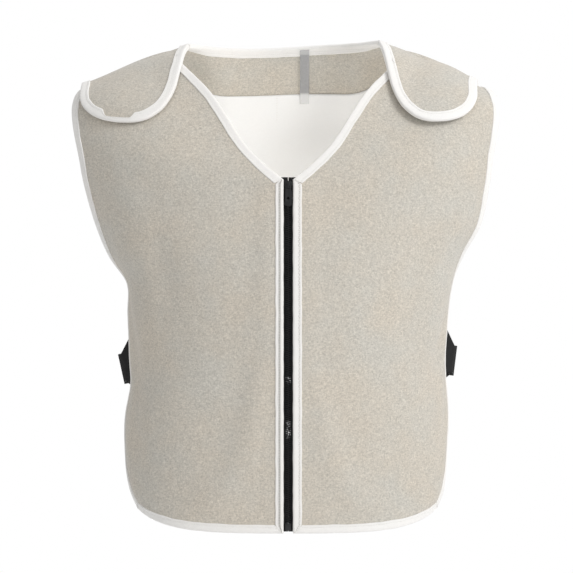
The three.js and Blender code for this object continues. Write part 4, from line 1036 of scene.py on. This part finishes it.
class Tape:
    """A folded tape along a path of places on a surface.
    inside is a place on the cloth beside the path's middle. corners gives the cloth's angle in degrees at
    either end, where another tape meets this one, or 0 for a square end. fans gives the direction in places
    that the legs turn to at either end, or None. width gives the legs' width at points of the path, as a
    share of the usual one."""

    def __init__(self, surface, path, inside, corners=(0, 0), fans=(None, None), width=None, leg=PLAIN_LEG,
                 seed=0):
        self.surface, self.profile = surface, leg
        places, run = even_places(surface, path, TAPE_STATION)
        base = surface(places[:, 0], places[:, 1])
        tangent = unit(np.gradient(base, axis=0))
        inward = unit(np.cross(normals_at(surface, places), tangent))
        half = len(places) // 2
        if place_step(surface, places, inward)[half] @ (np.asarray(inside) - places[half]) < 0:
            inward = -inward
        reach = np.full(len(run), BINDING_WIDTH) if width is None else BINDING_WIDTH * width(base)
        reach = reach + ripple(run, *WIDTH_WAVES, seed)
        fold = FOLD_REACH + ripple(run, *FOLD_WAVES, seed + 1)
        lift = ripple(run, *FACE_WAVES, seed + 2)
        outward = -inward
        for end, angle in enumerate(corners):
            if angle:
                away = run[-1] - run if end else run - run[0]
                reach = np.minimum(reach, away * math.tan(math.radians(angle / 2)) + MITRE_ROOM)
                turn = math.radians(90 - angle / 2)
                at = -end
                ahead = tangent[at] if end else -tangent[at]
                corner_out = outward[at] * math.cos(turn) + ahead * math.sin(turn)
                extra = (places[at], run[at], base[at], inward[at], MITRE_ROOM, fold[at] * MITRE_FOLD,
                         lift[at], corner_out)
                places, run, base, inward, reach, fold, lift, outward = self.extended(
                    end, [extra], places, run, base, inward, reach, fold, lift, outward)
        for end, direction in enumerate(fans):
            if direction is not None:
                at = -end
                sideways = np.asarray(direction, float)
                moved = places[at] + sideways * STEP
                sideways = unit(surface(moved[0], moved[1]) - surface(places[at, 0], places[at, 1]))
                extras = []
                for share in np.linspace(0, 1, FAN_STEPS)[1:]:
                    angle = share * math.pi / 2
                    turned = unit(inward[at] * math.cos(angle) + sideways * math.sin(angle))
                    extras.append((places[at], run[at], base[at], turned, reach[at], fold[at], lift[at],
                                   -turned))
                if end == 0:
                    extras.reverse()
                places, run, base, inward, reach, fold, lift, outward = self.extended(
                    end, extras, places, run, base, inward, reach, fold, lift, outward)
        self.run, self.base, self.outward, self.fold, self.lift = run, base, outward, fold, lift
        distance = reach[:, None] * (1 - leg[:, 0])[None, :]
        target = base[:, None] + inward[:, None] * distance[..., None]
        spots = np.repeat(places[:, None], len(leg), axis=1)
        for _ in range(PLACING_STEPS):
            spots = spots + place_step(surface, spots, target - surface(spots[..., 0], spots[..., 1]))
        self.leg = surface(spots[..., 0], spots[..., 1])
        self.normals = normals_at(surface, spots)

    @staticmethod
    def extended(end, extras, *lists):
        """The lists with more stations at the path's start (end 0) or at its end (end 1)."""
        added = [np.array(values) for values in zip(*extras)]
        return [np.concatenate([values, more] if end else [more, values])
                for values, more in zip(lists, added)]

    def rings(self):
        """The tape's outline at every station: front face, fold, back face and the room for the cloth."""
        heights = (TAPE_TOP + self.profile[:, 1] + self.lift[:, None])[..., None]
        front = self.leg + self.normals * heights
        back = (self.leg - self.normals * heights)[:, ::-1]
        normal = self.normals[:, -1]
        top = TAPE_TOP + self.profile[-1, 1]
        arc = np.stack([self.base + self.outward * (self.fold * math.cos(angle))[:, None]
                        + normal * (top * math.sin(angle)) for angle in FOLD_ANGLES], axis=1)
        low = HALF_CLOTH + TAPE_ROOM
        inner = np.stack([
            self.leg[:, 0] - self.normals[:, 0] * low,
            self.base - normal * low + self.outward * TAPE_ROOM,
            self.base + normal * low + self.outward * TAPE_ROOM,
            self.leg[:, 0] + self.normals[:, 0] * low,
        ], axis=1)
        return np.concatenate([front, arc, back, inner], axis=1)

    def build(self, name, material, *nodes):
        rings = self.rings()
        across = np.concatenate([self.profile[:, 0], np.ones(len(FOLD_ANGLES)), self.profile[::-1, 0],
                                 [0, 1, 1, 0]]) * BINDING_WIDTH * MM
        maps = np.stack(np.broadcast_arrays(across[None, :], self.run[:, None] * MM), axis=-1)
        piece = closed_loft(name, rings, material, maps)
        return place(piece, "edge_tape", *nodes)

    def line(self, share, side=1):
        """Points on a leg's face at a share of its width, with the direction away from the cloth there."""
        shares = self.profile[:, 0]
        at = np.interp(share, shares, np.arange(len(shares)))
        low = int(at)
        high = min(low + 1, len(shares) - 1)
        f = at - low
        points = self.leg[:, low] * (1 - f) + self.leg[:, high] * f
        normals = unit(self.normals[:, low] * (1 - f) + self.normals[:, high] * f) * side
        height = TAPE_TOP + float(np.interp(share, shares, self.profile[:, 1]))
        return points + normals * height, normals


# Points of a tape's path, and the gap between two paths that meet at the neck's corner
PATH_POINTS, SHORT_PATH_POINTS, LONG_PATH_POINTS = 160, 60, 300
CORNER_GAP = 1e-4


def path_between(start, end, count=PATH_POINTS):
    f = np.linspace(0, 1, count)[:, None]
    return np.asarray(start, float) * (1 - f) + np.asarray(end, float) * f


# Width of the front's tapes as a share of the solids'
FRONT_TAPE_SHARE, LEFT_OPENING_SHARE = 0.86, 0.78
# The tapes' own seeds
FRONT_SEEDS, BACK_SEED, FLAP_SEED, ZIP_SEED = {1: SEED + 10, -1: SEED + 30}, SEED + 50, SEED + 62, SEED + 90
# Angles of the cloth in degrees where two tapes meet
OPENING_CORNER, NECK_CORNER, FRONT_HEM_CORNER, BACK_HEM_CORNER = 90, 129, 156, 137
CORNER_V = NECK_CORNER_ROW / (len(FRONT_ROWS) - 1)


def front_tapes(side, word, materials):
    """The four tapes of a front panel, by name."""
    surface = lambda u, v: front_point(side, u, v)
    seed = FRONT_SEEDS[side]
    opening_leg = GROOVED_LEG if side < 0 else PLAIN_LEG
    narrow = lambda points: np.full(len(points), FRONT_TAPE_SHARE)
    opening_width = (lambda points: np.full(len(points), LEFT_OPENING_SHARE)) if side < 0 else narrow
    tapes = {
        "opening_binding": Tape(surface, path_between((0, 0), (0, CORNER_V)), (0.1, CORNER_V / 2),
                                (OPENING_CORNER, NECK_CORNER), width=opening_width, leg=opening_leg,
                                seed=seed),
        "neck_binding_front": Tape(surface, path_between((0, CORNER_V + CORNER_GAP), (0, 1)), (0.1, 0.8),
                                   (NECK_CORNER, 0), width=narrow, seed=seed + 3),
        "armhole_binding_front": Tape(surface, path_between((1, 0), (1, 1)), (0.9, 0.5),
                                      (FRONT_HEM_CORNER, 0), width=narrow, seed=seed + 6),
        "hem_binding_front": Tape(surface, path_between((0, 0), (1, 0)), (0.5, 0.05),
                                  (OPENING_CORNER, FRONT_HEM_CORNER), width=narrow, seed=seed + 9),
    }
    for name, tape in tapes.items():
        finish = "grooved_tape" if name == "opening_binding" and side < 0 else "edge_tape"
        tape.build(f"{name}_cloth_{word}", materials[finish], f"{name}_{word}")
    return tapes


def flap_path(side):
    """Round the flap's free sides, from its outer edge at the shoulder to its inner one."""
    down = path_between((1, 0), (1, 1), SHORT_PATH_POINTS)
    under = np.stack([flap_shares(LONG_PATH_POINTS)[::-1], np.ones(LONG_PATH_POINTS + 1)], axis=-1)
    up = path_between((0, 1), (0, 0), SHORT_PATH_POINTS)
    q, t = np.concatenate([down[:-1], under, up[1:]]).T
    return np.stack(flap_on_front(side, q, t), axis=-1)


# Distances from the middle between which the left flap's tape grows thin and wide again, in millimetres
THIN_START, THIN_END, THIN_LOSS = (177.0, 184.0), (213.0, 222.0), 0.66


def thin_at_end(points):
    """The left flap's tape is turned under at the middle of its end, where little of it shows."""
    away = np.abs(points[:, 0])
    return 1.0 - THIN_LOSS * smoothstep(away, *THIN_START) * (1 - smoothstep(away, *THIN_END))


def back_tapes(materials):
    """The tapes of the back panel and of both flaps, by name."""
    corner, seed = BACK_HEM_CORNER, BACK_SEED
    path = lambda start, end: path_between(start, end, LONG_PATH_POINTS)
    tapes = {
        "hem_binding_back": Tape(back_point, path((-1, 0), (1, 0)), (0, 0.05), (corner, corner), seed=seed),
        "side_binding_back_left": Tape(back_point, path((-1, 0), (-1, 1)), (-0.9, 0.5), (corner, 0),
                                       seed=seed + 3),
        "side_binding_back_right": Tape(back_point, path((1, 0), (1, 1)), (0.9, 0.5), (corner, 0),
                                        seed=seed + 6),
        "neck_binding_back": Tape(back_point, path((-NECK_SHARE, 1), (NECK_SHARE, 1)), (0, 0.95),
                                  fans=((-1, 0), (1, 0)), seed=seed + 9),
    }
    for side, word in ((-1, "left"), (1, "right")):
        surface = lambda u, v, side=side: over_front(side, u, v)
        inside = np.array(flap_on_front(side, np.array(0.5), np.array(0.8)))
        tapes[f"flap_binding_{word}"] = Tape(surface, flap_path(side), inside,
                                             width=thin_at_end if side < 0 else None, seed=FLAP_SEED + side)
    for name, tape in tapes.items():
        stem, *rest = name.rsplit("_", 1) if name.endswith(("left", "right")) else (name,)
        tape.build("_".join([stem, "cloth", *rest]), materials["edge_tape"], name)
    return tapes


# Stitches and zip teeth are small shapes set on points with stored directions, by one geometry node tree.
STITCH_LENGTH, STITCH_THICK = 2.3, 0.5
STITCH_PITCH, MARK_PITCH, NECK_PITCH = 3.1, 4.5, 2.6
STITCH_START = 3.0
# A stitch and a zip tooth: places along it with half width and half height there
STITCH_STATIONS = ((-1, 0.3), (-0.8, 0.8), (0, 1), (0.8, 0.8), (1, 0.3))
TOOTH_STATIONS = [(-1.85, 0.42, 0.95), (-1.7, 0.5, 1.08), (-0.1, 0.5, 1.08), (0.3, 0.78, 1.1),
                  (1.1, 0.78, 1.1), (1.4, 0.5, 0.95)]
TOOTH_PITCH, TOOTH_REACH = 2.5, 1.0
# Places of stitches across a tape, as shares of its width
EDGE_LINE, GROOVE_LINE, NECK_LINES = 0.3, 0.54, ((0.3, -1), (0.22, 1), (0.5, 1))
MARK_LINE, MARK_SWING, INNER_GROOVE_LINE, INNER_GROOVE_START = 0.36, 0.8, 0.62, 4.5
NECK_ENDS = 8
# The neck tape's end, sewn over: its line, its start as a share of the run, its pitch, end and swing
SEWN_OVER_LINE, SEWN_OVER_FROM, SEWN_OVER_PITCH, SEWN_OVER_END, SEWN_OVER_SWING = 0.36, 0.86, 1.5, 6, 1.5
STITCH_SIDES, TOOTH_SIDES, TOOTH_WOBBLE = 6, 8, 0.02
# The lining's seam: its distance from the middle, its height as a share of the back, and how far it stands up
SEAM_X, SEAM_HEIGHT, SEAM_DROP, SEAM_LIFT = 14.0, 0.30, 0.002, 0.15
SEAM_STATIONS, SEAM_SEARCH = 80, np.linspace(0, 0.3, 40)


def repeat_tree():
    """Sets a small shape on each point, along and away from the stored directions, a little unevenly."""
    tree = bpy.data.node_groups.new("set_along", "GeometryNodeTree")
    kinds = (("Points", "Geometry"), ("Shape", "Object"), ("Finish", "Material"), ("Wobble", "Float"),
             ("Uneven", "Float"))
    inputs = {}
    for name, kind in kinds:
        socket = tree.interface.new_socket(name=name, in_out="INPUT", socket_type=f"NodeSocket{kind}")
        inputs[name] = socket.identifier
    tree.interface.new_socket(name="Result", in_out="OUTPUT", socket_type="NodeSocketGeometry")
    graph = Graph(tree)
    start, end = graph.add("NodeGroupInput"), graph.add("NodeGroupOutput")

    def stored(name):
        node = graph.add("GeometryNodeInputNamedAttribute", data_type="FLOAT_VECTOR")
        node.inputs["Name"].default_value = name
        return node.outputs["Attribute"]

    def random_vector(seed):
        node = graph.add("FunctionNodeRandomValue", data_type="FLOAT_VECTOR")
        node.inputs["Min"].default_value = (-1.0, -1.0, -1.0)
        node.inputs["Max"].default_value = (1.0, 1.0, 1.0)
        node.inputs["Seed"].default_value = seed
        return node.outputs["Value"]

    along = graph.add("FunctionNodeAlignRotationToVector", axis="X")
    graph.feed(stored("along"), along.inputs["Vector"])
    away = graph.add("FunctionNodeAlignRotationToVector", axis="Z", pivot_axis="X")
    graph.feed(along.outputs["Rotation"], away.inputs["Rotation"])
    graph.feed(stored("away"), away.inputs["Vector"])
    sized = graph.add("ShaderNodeVectorMath", operation="SCALE")
    graph.feed(random_vector(SEED), sized.inputs[0])
    graph.feed(start.outputs["Wobble"], sized.inputs["Scale"])
    euler = graph.add("FunctionNodeEulerToRotation")
    graph.feed(sized.outputs[0], euler.inputs[0])
    turned = graph.add("FunctionNodeRotateRotation", rotation_space="LOCAL")
    graph.feed(away.outputs["Rotation"], turned.inputs["Rotation"])
    graph.feed(euler.outputs[0], turned.inputs["Rotate By"])
    stretch = graph.add("ShaderNodeVectorMath", operation="MULTIPLY_ADD")
    graph.feed(random_vector(SEED + 1), stretch.inputs[0])
    graph.feed(start.outputs["Uneven"], stretch.inputs[1])
    stretch.inputs[2].default_value = (1.0, 1.0, 1.0)
    shape = graph.add("GeometryNodeObjectInfo", transform_space="ORIGINAL")
    graph.feed(start.outputs["Shape"], shape.inputs["Object"])
    spread = graph.add("GeometryNodeInstanceOnPoints")
    graph.feed(start.outputs["Points"], spread.inputs["Points"])
    graph.feed(shape.outputs["Geometry"], spread.inputs["Instance"])
    graph.feed(turned.outputs["Rotation"], spread.inputs["Rotation"])
    graph.feed(stretch.outputs[0], spread.inputs["Scale"])
    real = graph.add("GeometryNodeRealizeInstances")
    graph.feed(spread.outputs["Instances"], real.inputs["Geometry"])
    finish = graph.add("GeometryNodeSetMaterial")
    graph.feed(real.outputs["Geometry"], finish.inputs["Geometry"])
    graph.feed(start.outputs["Finish"], finish.inputs["Material"])
    graph.feed(finish.outputs["Geometry"], end.inputs["Result"])
    return tree, inputs


def small_shape(name, stations, sides, material):
    """A short body along X from stations of x, half width and half height."""
    angles = 2 * np.pi * (np.arange(sides) + 0.5) / sides
    corner = 1 / math.cos(math.pi / sides)
    rings = np.array([[[x, wide * math.cos(a) * corner, high * math.sin(a) * corner] for a in angles]
                      for x, wide, high in stations])
    return closed_loft(name, rings, material, np.zeros((*rings.shape[:2], 2)))


class Repeater:
    def __init__(self):
        self.tree, self.inputs = repeat_tree()

    def spread(self, name, lines, shape, material, wobble=0.0, uneven=0.0, smooth=True):
        """One mesh of the shape at all places of the lines, each given as places, along and away."""
        places, along, away = (np.concatenate(parts) for parts in zip(*lines))
        mesh = bpy.data.meshes.new("places_" + name)
        mesh.from_pydata((places * MM).tolist(), [], [])
        for word, values in (("along", along), ("away", away)):
            layer = mesh.attributes.new(word, "FLOAT_VECTOR", "POINT")
            layer.data.foreach_set("vector", unit(values).astype(np.float32).ravel())
        points = bpy.data.objects.new("places_" + name, mesh)
        bpy.context.scene.collection.objects.link(points)
        modifier = points.modifiers.new("set_along", "NODES")
        modifier.node_group = self.tree
        for word, value in (("Shape", shape), ("Finish", material), ("Wobble", wobble), ("Uneven", uneven)):
            modifier[self.inputs[word]] = value
        settled = points.evaluated_get(bpy.context.evaluated_depsgraph_get())
        result = bpy.data.meshes.new_from_object(settled)
        bpy.data.objects.remove(points)
        result.name = name
        result.polygons.foreach_set("use_smooth", np.full(len(result.polygons), smooth))
        piece = bpy.data.objects.new(name, result)
        bpy.context.scene.collection.objects.link(piece)
        return piece


def stitches_on(points, away, run, pitch, start=STITCH_START, end=STITCH_START, zigzag=0.0):
    """Places, directions and away directions of stitches along a line of points."""
    stops = np.arange(run[0] + start, run[-1] - end, pitch)
    places, away = read_at(points, run, stops), unit(read_at(away, run, stops))
    along = unit(np.gradient(places, axis=0))
    if zigzag:
        across = np.cross(away, along) * np.where(np.arange(len(stops)) % 2, 1.0, -1.0)[:, None]
        along = unit(along * pitch + across * 2 * zigzag)
    return places, along, away


def tape_stitches(tape, share, side, pitch, **more):
    points, away = tape.line(share, side)
    return stitches_on(points, away, tape.run, pitch, **more)


def front_lines(tapes, side, word):
    """The stitch lines on both faces of a front panel's tapes, and the one on the flap over it."""
    lines = []
    for name, tape in tapes[word].items():
        if name == "opening_binding" and side > 0:
            continue
        share = GROOVE_LINE if name == "opening_binding" else EDGE_LINE
        lines.append(tape_stitches(tape, share, side, STITCH_PITCH))
        lines.append(tape_stitches(tape, EDGE_LINE, -side, STITCH_PITCH))
    lines.append(tape_stitches(tapes["back"][f"flap_binding_{word}"], EDGE_LINE, side, STITCH_PITCH))
    return lines


def neck_lines(neck):
    """The neck's stitch lines. The tape's end is sewn over once more at the right."""
    lines = [tape_stitches(neck, share, side, NECK_PITCH, start=NECK_ENDS, end=NECK_ENDS)
             for share, side in NECK_LINES]
    start = neck.run[-1] * SEWN_OVER_FROM
    sewn_over = tape_stitches(neck, SEWN_OVER_LINE, 1, SEWN_OVER_PITCH, start=start, end=SEWN_OVER_END,
                              zigzag=SEWN_OVER_SWING)
    return lines + [sewn_over]


def seam_line():
    """The stitches of the lining's upright seam."""
    seam_v = np.linspace(YOKE_V - SEAM_DROP, YOKE_V - SEAM_HEIGHT, SEAM_STATIONS)
    c = np.array([np.interp(SEAM_X, -back_point(-SEAM_SEARCH, v)[:, 0], SEAM_SEARCH) for v in seam_v])
    outward = back_normal(-c, seam_v)
    points = back_point(-c, seam_v) - outward * (HALF_CLOTH + GAP + LINING + SEAM_LIFT)
    return stitches_on(points, -outward, lengths_along(points), STITCH_PITCH)


def build_stitches(tapes, repeater, materials):
    half, thick = STITCH_LENGTH / 2, STITCH_THICK / 2
    stations = [(x * half, r * thick, r * thick) for x, r in STITCH_STATIONS]
    stitch = small_shape("stitch_shape", stations, STITCH_SIDES, materials["thread"])
    back = tapes["back"]
    back_edges = [back[name] for name in ("side_binding_back_left", "side_binding_back_right",
                                          "hem_binding_back")]
    marks = [tape_stitches(tapes["right"]["opening_binding"], MARK_LINE, 1, MARK_PITCH / 2,
                           zigzag=MARK_SWING),
             tape_stitches(tapes["left"]["opening_binding"], INNER_GROOVE_LINE, -1, STITCH_PITCH,
                           start=INNER_GROOVE_START)]
    # Name, lines, thread, material slot, and how unevenly the stitches lie and are sized
    groups = [
        ("front_stitches", front_lines(tapes, -1, "left") + front_lines(tapes, 1, "right"), "thread",
         "edge_tape", 0.12, 0.12),
        ("back_stitches", [tape_stitches(tape, EDGE_LINE, -1, STITCH_PITCH) for tape in back_edges], "thread",
         "edge_tape", 0.12, 0.12),
        ("neck_stitches", neck_lines(back["neck_binding_back"]), "thread", "edge_tape", 0.12, 0.12),
        ("opening_stitches", marks, "dark_thread", "edge_tape", 0.15, 0.15),
        ("lining_stitches", [seam_line()], "thread", "lining_cloth", 0.08, 0.1),
    ]
    for name, lines, thread, slot, wobble, uneven in groups:
        piece = repeater.spread(name, lines, stitch, materials[thread], wobble=wobble, uneven=uneven)
        place(piece, slot)
    bpy.data.objects.remove(stitch)


# Zip, as in the solids: depths forward from the middle of the panels' cloth
ZIP_TAPE, ZIP_TAPE_OUTER, ZIP_TAPE_INNER, ZIP_SEAT = 0.8, 12.0, 0.35, 0.5
CHAIN_THICK, SLIDER_DROP, ZIP_BOX_END = 2.2, 6.0, 10.0
TAPE_DEPTH = -(TAPE_TOP + ZIP_SEAT)
CHAIN_DEPTH = TAPE_DEPTH + GAP + CHAIN_THICK / 2
ZIP_ROWS, ZIP_TAPE_COLUMNS = 200, 13
# The tapes run on above the corner by this rise, and turn back by the flare over a length below their end
ZIP_END_RISE, ZIP_FLARE, ZIP_FLARE_LENGTH = 4.0, 1.2, 9.0
ZIP_WAVELENGTHS, ZIP_WAVE = (31, 17), 0.12
FIRST_TOOTH = 0.8
# Takes a point or a direction to the middle plane
MIDDLE_PLANE = np.array([0.0, 1.0, 1.0])


def zip_line(v):
    """The zip's middle line with its forward and upward directions."""
    points = front_point(1, np.zeros_like(v), v) * MIDDLE_PLANE
    ahead = front_point(1, np.zeros_like(v), np.minimum(v + STEP, CORNER_V))
    behind = front_point(1, np.zeros_like(v), np.maximum(v - STEP, 0.0))
    tangent = unit((ahead - behind) * MIDDLE_PLANE)
    forward = np.stack([np.zeros(len(v)), -tangent[:, 2], tangent[:, 1]], axis=-1)
    return points, forward, tangent


def build_zip_tapes(line, ways, run, materials):
    """The black tapes behind both openings, along a line with its forward directions."""
    shares = np.linspace(0, 1, ZIP_TAPE_COLUMNS)
    across = ZIP_TAPE_INNER + (ZIP_TAPE_OUTER - ZIP_TAPE_INNER) * shares
    flare = smoothstep(run, run[-1] - ZIP_FLARE_LENGTH, run[-1]) * ZIP_FLARE
    for side, word in ((-1, "left"), (1, "right")):
        wave = ZIP_WAVE * ripple(run, ZIP_WAVELENGTHS, 1.0, ZIP_SEED + side)
        depth = (TAPE_DEPTH - ZIP_TAPE / 2) + wave[:, None] * shares + flare[:, None] * shares ** 2
        grid = line[:, None] + ways[:, None] * depth[..., None]
        grid[..., 0] = side * across[None, :]
        tape = strip_wall(f"zip_tape_cloth_{word}", grid, ZIP_TAPE, materials["zip_cloth"])
        place(tape, "zip_cloth", f"zip_tape_{word}")


def build_teeth(line, ways, run, ends, repeater, materials):
    """Teeth from the left and the right by turns, between two lengths along the zip."""
    stops = np.arange(ends[0] + FIRST_TOOTH, ends[1], TOOTH_PITCH / 2)
    away = unit(read_at(ways, run, stops))
    places = read_at(line, run, stops) + away * CHAIN_DEPTH
    hands = np.where(np.arange(len(stops)) % 2, 1.0, -1.0)
    places[:, 0] = hands * TOOTH_REACH
    along = np.zeros_like(places)
    along[:, 0] = -hands
    tooth = small_shape("tooth_shape", TOOTH_STATIONS, TOOTH_SIDES, materials["zip_teeth"])
    teeth = repeater.spread("zip_teeth", [(places, along, away)], tooth, materials["zip_teeth"],
                            wobble=TOOTH_WOBBLE, smooth=False)
    place(teeth, "zip_teeth", "zip_chain")
    bpy.data.objects.remove(tooth)


def build_zip(repeater, materials):
    points, forward, tangent = zip_line(np.linspace(0, CORNER_V, ZIP_ROWS))
    above = points[-1] + tangent[-1] * np.linspace(0, ZIP_END_RISE, 5)[1:, None]
    line = np.concatenate([points, above])
    ways = np.concatenate([forward, np.repeat(forward[-1:], len(above), axis=0)])
    run = lengths_along(line)
    build_zip_tapes(line, ways, run, materials)
    heights = points[:, 2] + REST_HEIGHT
    ends = np.interp([ZIP_BOX_END + GAP, heights[-1] - SLIDER_DROP], heights, run[:ZIP_ROWS])
    build_teeth(line, ways, run, ends, repeater, materials)
    bevelled_copy("zip_box", "zip_end_box", materials["zip_teeth"], "zip_teeth", BOX_EDGE)
    bevelled_copy("zip_slider", "zip_slider_body", materials["zip_metal"], "zip_metal", SLIDER_EDGE)
    bevelled_copy("zip_pull", "zip_pull_tab", materials["zip_metal"], "zip_metal", PULL_EDGE, PULL_BODY)


def strip_wall(name, grid, thick, material):
    normals = grid_normals(grid, 1)
    return wall_object(name, grid.reshape(-1, 3), normals.reshape(-1, 3), grid_faces(*grid.shape[:2], False),
                       -thick / 2, thick / 2, material, grid_lengths(grid).reshape(-1, 2))


# Rounding of the hard pieces' edges in millimetres
BOX_EDGE, SLIDER_EDGE, PULL_EDGE, BUCKLE_EDGE = 0.5, 0.25, 0.3, 0.6
# Angles in degrees: faces closer to flat are joined, edges sharper than the second are rounded, and edges
# sharper than the third aren't smoothed over
FLAT_ANGLE, ROUNDED_ANGLE, CREASE_ANGLE = 2, 30, 40
BEVEL_SEGMENTS, BEVEL_PROFILE, MERGE_DISTANCE = 2, 0.6, 1e-5


def bevelled_copy(node, name, material, slot, width, body=BODY):
    """A copy of a hard CAD piece with its facets joined and its edges rounded, in the CAD piece's place."""
    mesh = bpy.data.objects[node].data.copy()
    mesh.name = name
    form = bmesh.new()
    form.from_mesh(mesh)
    bmesh.ops.remove_doubles(form, verts=form.verts, dist=MERGE_DISTANCE)
    bmesh.ops.dissolve_limit(form, angle_limit=math.radians(FLAT_ANGLE), verts=form.verts, edges=form.edges)
    sharp = [edge for edge in form.edges if len(edge.link_faces) == 2
             and edge.calc_face_angle() > math.radians(ROUNDED_ANGLE)]
    bmesh.ops.bevel(form, geom=sharp, offset=width * MM, segments=BEVEL_SEGMENTS, profile=BEVEL_PROFILE,
                    affect="EDGES", clamp_overlap=True)
    form.to_mesh(mesh)
    form.free()
    mesh.materials.clear()
    mesh.materials.append(material)
    mesh.polygons.foreach_set("use_smooth", np.ones(len(mesh.polygons), dtype=bool))
    mesh.set_sharp_from_angle(angle=math.radians(CREASE_ANGLE))
    piece = bpy.data.objects.new(name, mesh)
    bpy.context.scene.collection.objects.link(piece)
    return place(piece, slot, node, body=body)


# Side straps, as in the solids, but for the top edge, which is raised where it lies behind the front panel,
# and for the crest, which stands a little further out
STRAP_WIDTH, STRAP_CREST_WIDTH, STRAP_THICK, STRAP_ROOM = 50.0, 30.0, 1.6, 0.5
STRAP_SIZES = {
    -1: {"frontHeight": 193, "crestHeight": 183, "backHeight": 186, "topBow": 15, "bottomBow": 7},
    1: {"frontHeight": 204, "crestHeight": 193, "backHeight": 194, "topBow": 14, "bottomBow": 9},
}
STRAP_FRONT_SHARES, STRAP_BACK_SHARES = (0.8, 0.9, 0.96, 1.02), (1.02, 0.958, 0.87, 0.79)
BUCKLE_LENGTH, BUCKLE_ROOM = 7.0, 1.0
STRAP_TOP_RISE, STRAP_CREST_OUT = 17.0, 0.9
STRAP_COLUMNS, STRAP_STATIONS, STRAP_SMOOTHING = 25, 90, 3


def strap_edge(side, sizes, half, crest_half, bow, rise):
    """One long edge of a strap: tucked behind the front, over the crest and laid on the back.
    half and crest_half are its distances above the strap's middle line, there and at the crest. bow is how
    far the crest stands out and rise how much higher the edge is behind the front."""
    offset = TAPE_TOP + GAP + STRAP_ROOM + STRAP_THICK / 2
    surface = lambda u, v: front_point(side, u, v)
    lower = lambda c, v: back_lower(side, np.abs(c), v / BACK_LOWER)
    tucked = []
    for u in STRAP_FRONT_SHARES:
        v = height_share_at(surface, u, sizes["frontHeight"] + half + rise)
        tucked.append(surface(u, v) - front_normal(side, u, v) * offset)
    laid = []
    for share in STRAP_BACK_SHARES:
        v = height_share_at(lower, side * share, sizes["backHeight"] + half)
        laid.append(back_point(side * share, v) + back_normal(side * share, v) * offset)
    front_x = abs(tucked[-1][0]) + side_pull(side, tucked[-1][2] + REST_HEIGHT)
    crest_x = side * (max(front_x, abs(laid[0][0])) + bow + STRAP_CREST_OUT)
    crest_z = sizes["crestHeight"] + crest_half - REST_HEIGHT
    middle = (tucked[-1][1] + laid[0][1]) / 2
    half_crest = BUCKLE_LENGTH / 2 + BUCKLE_ROOM
    crest = [np.array([crest_x, middle + way * half_crest, crest_z]) for way in (-1, 1)]
    return np.array([*tucked, *crest, *laid])


def build_straps(materials):
    for side, word in ((-1, "left"), (1, "right")):
        sizes = STRAP_SIZES[side]
        half, crest_half = STRAP_WIDTH / 2, STRAP_CREST_WIDTH / 2
        bottom = strap_edge(side, sizes, -half, -crest_half, sizes["bottomBow"], 0.0)
        top = strap_edge(side, sizes, half, crest_half, sizes["topBow"], STRAP_TOP_RISE)
        run = lengths_along((bottom + top) / 2)
        stops = np.linspace(0, run[-1], STRAP_STATIONS)
        edges = [read_at(edge, run, stops) for edge in (bottom, top)]
        for _ in range(STRAP_SMOOTHING):
            for edge in edges:
                edge[1:-1] = (edge[:-2] + 2 * edge[1:-1] + edge[2:]) / 4
        f = np.linspace(0, 1, STRAP_COLUMNS)[:, None, None]
        grid = edges[0][None] * (1 - f) + edges[1][None] * f
        strap = strip_wall(f"side_strap_webbing_{word}", grid, STRAP_THICK, materials["webbing"])
        place(strap, "webbing", f"side_strap_{word}")
        bevelled_copy(f"side_buckle_{word}", f"buckle_frame_{word}", materials["buckle_plastic"],
                      "buckle_plastic", BUCKLE_EDGE)


def main():
    add_camera()
    add_studio()
    materials = make_materials()
    tapes, fronts = {}, {}
    for side, word in ((-1, "left"), (1, "right")):
        fronts[word] = build_front(side, word, materials)
        tapes[word] = front_tapes(side, word, materials)
    back, cloth = build_back(materials)
    lining = build_lining(cloth, materials)
    neck_tape = build_neck_tape(materials)
    tapes["back"] = back_tapes(materials)
    repeater = Repeater()
    build_stitches(tapes, repeater, materials)
    build_zip(repeater, materials)
    build_straps(materials)


main()
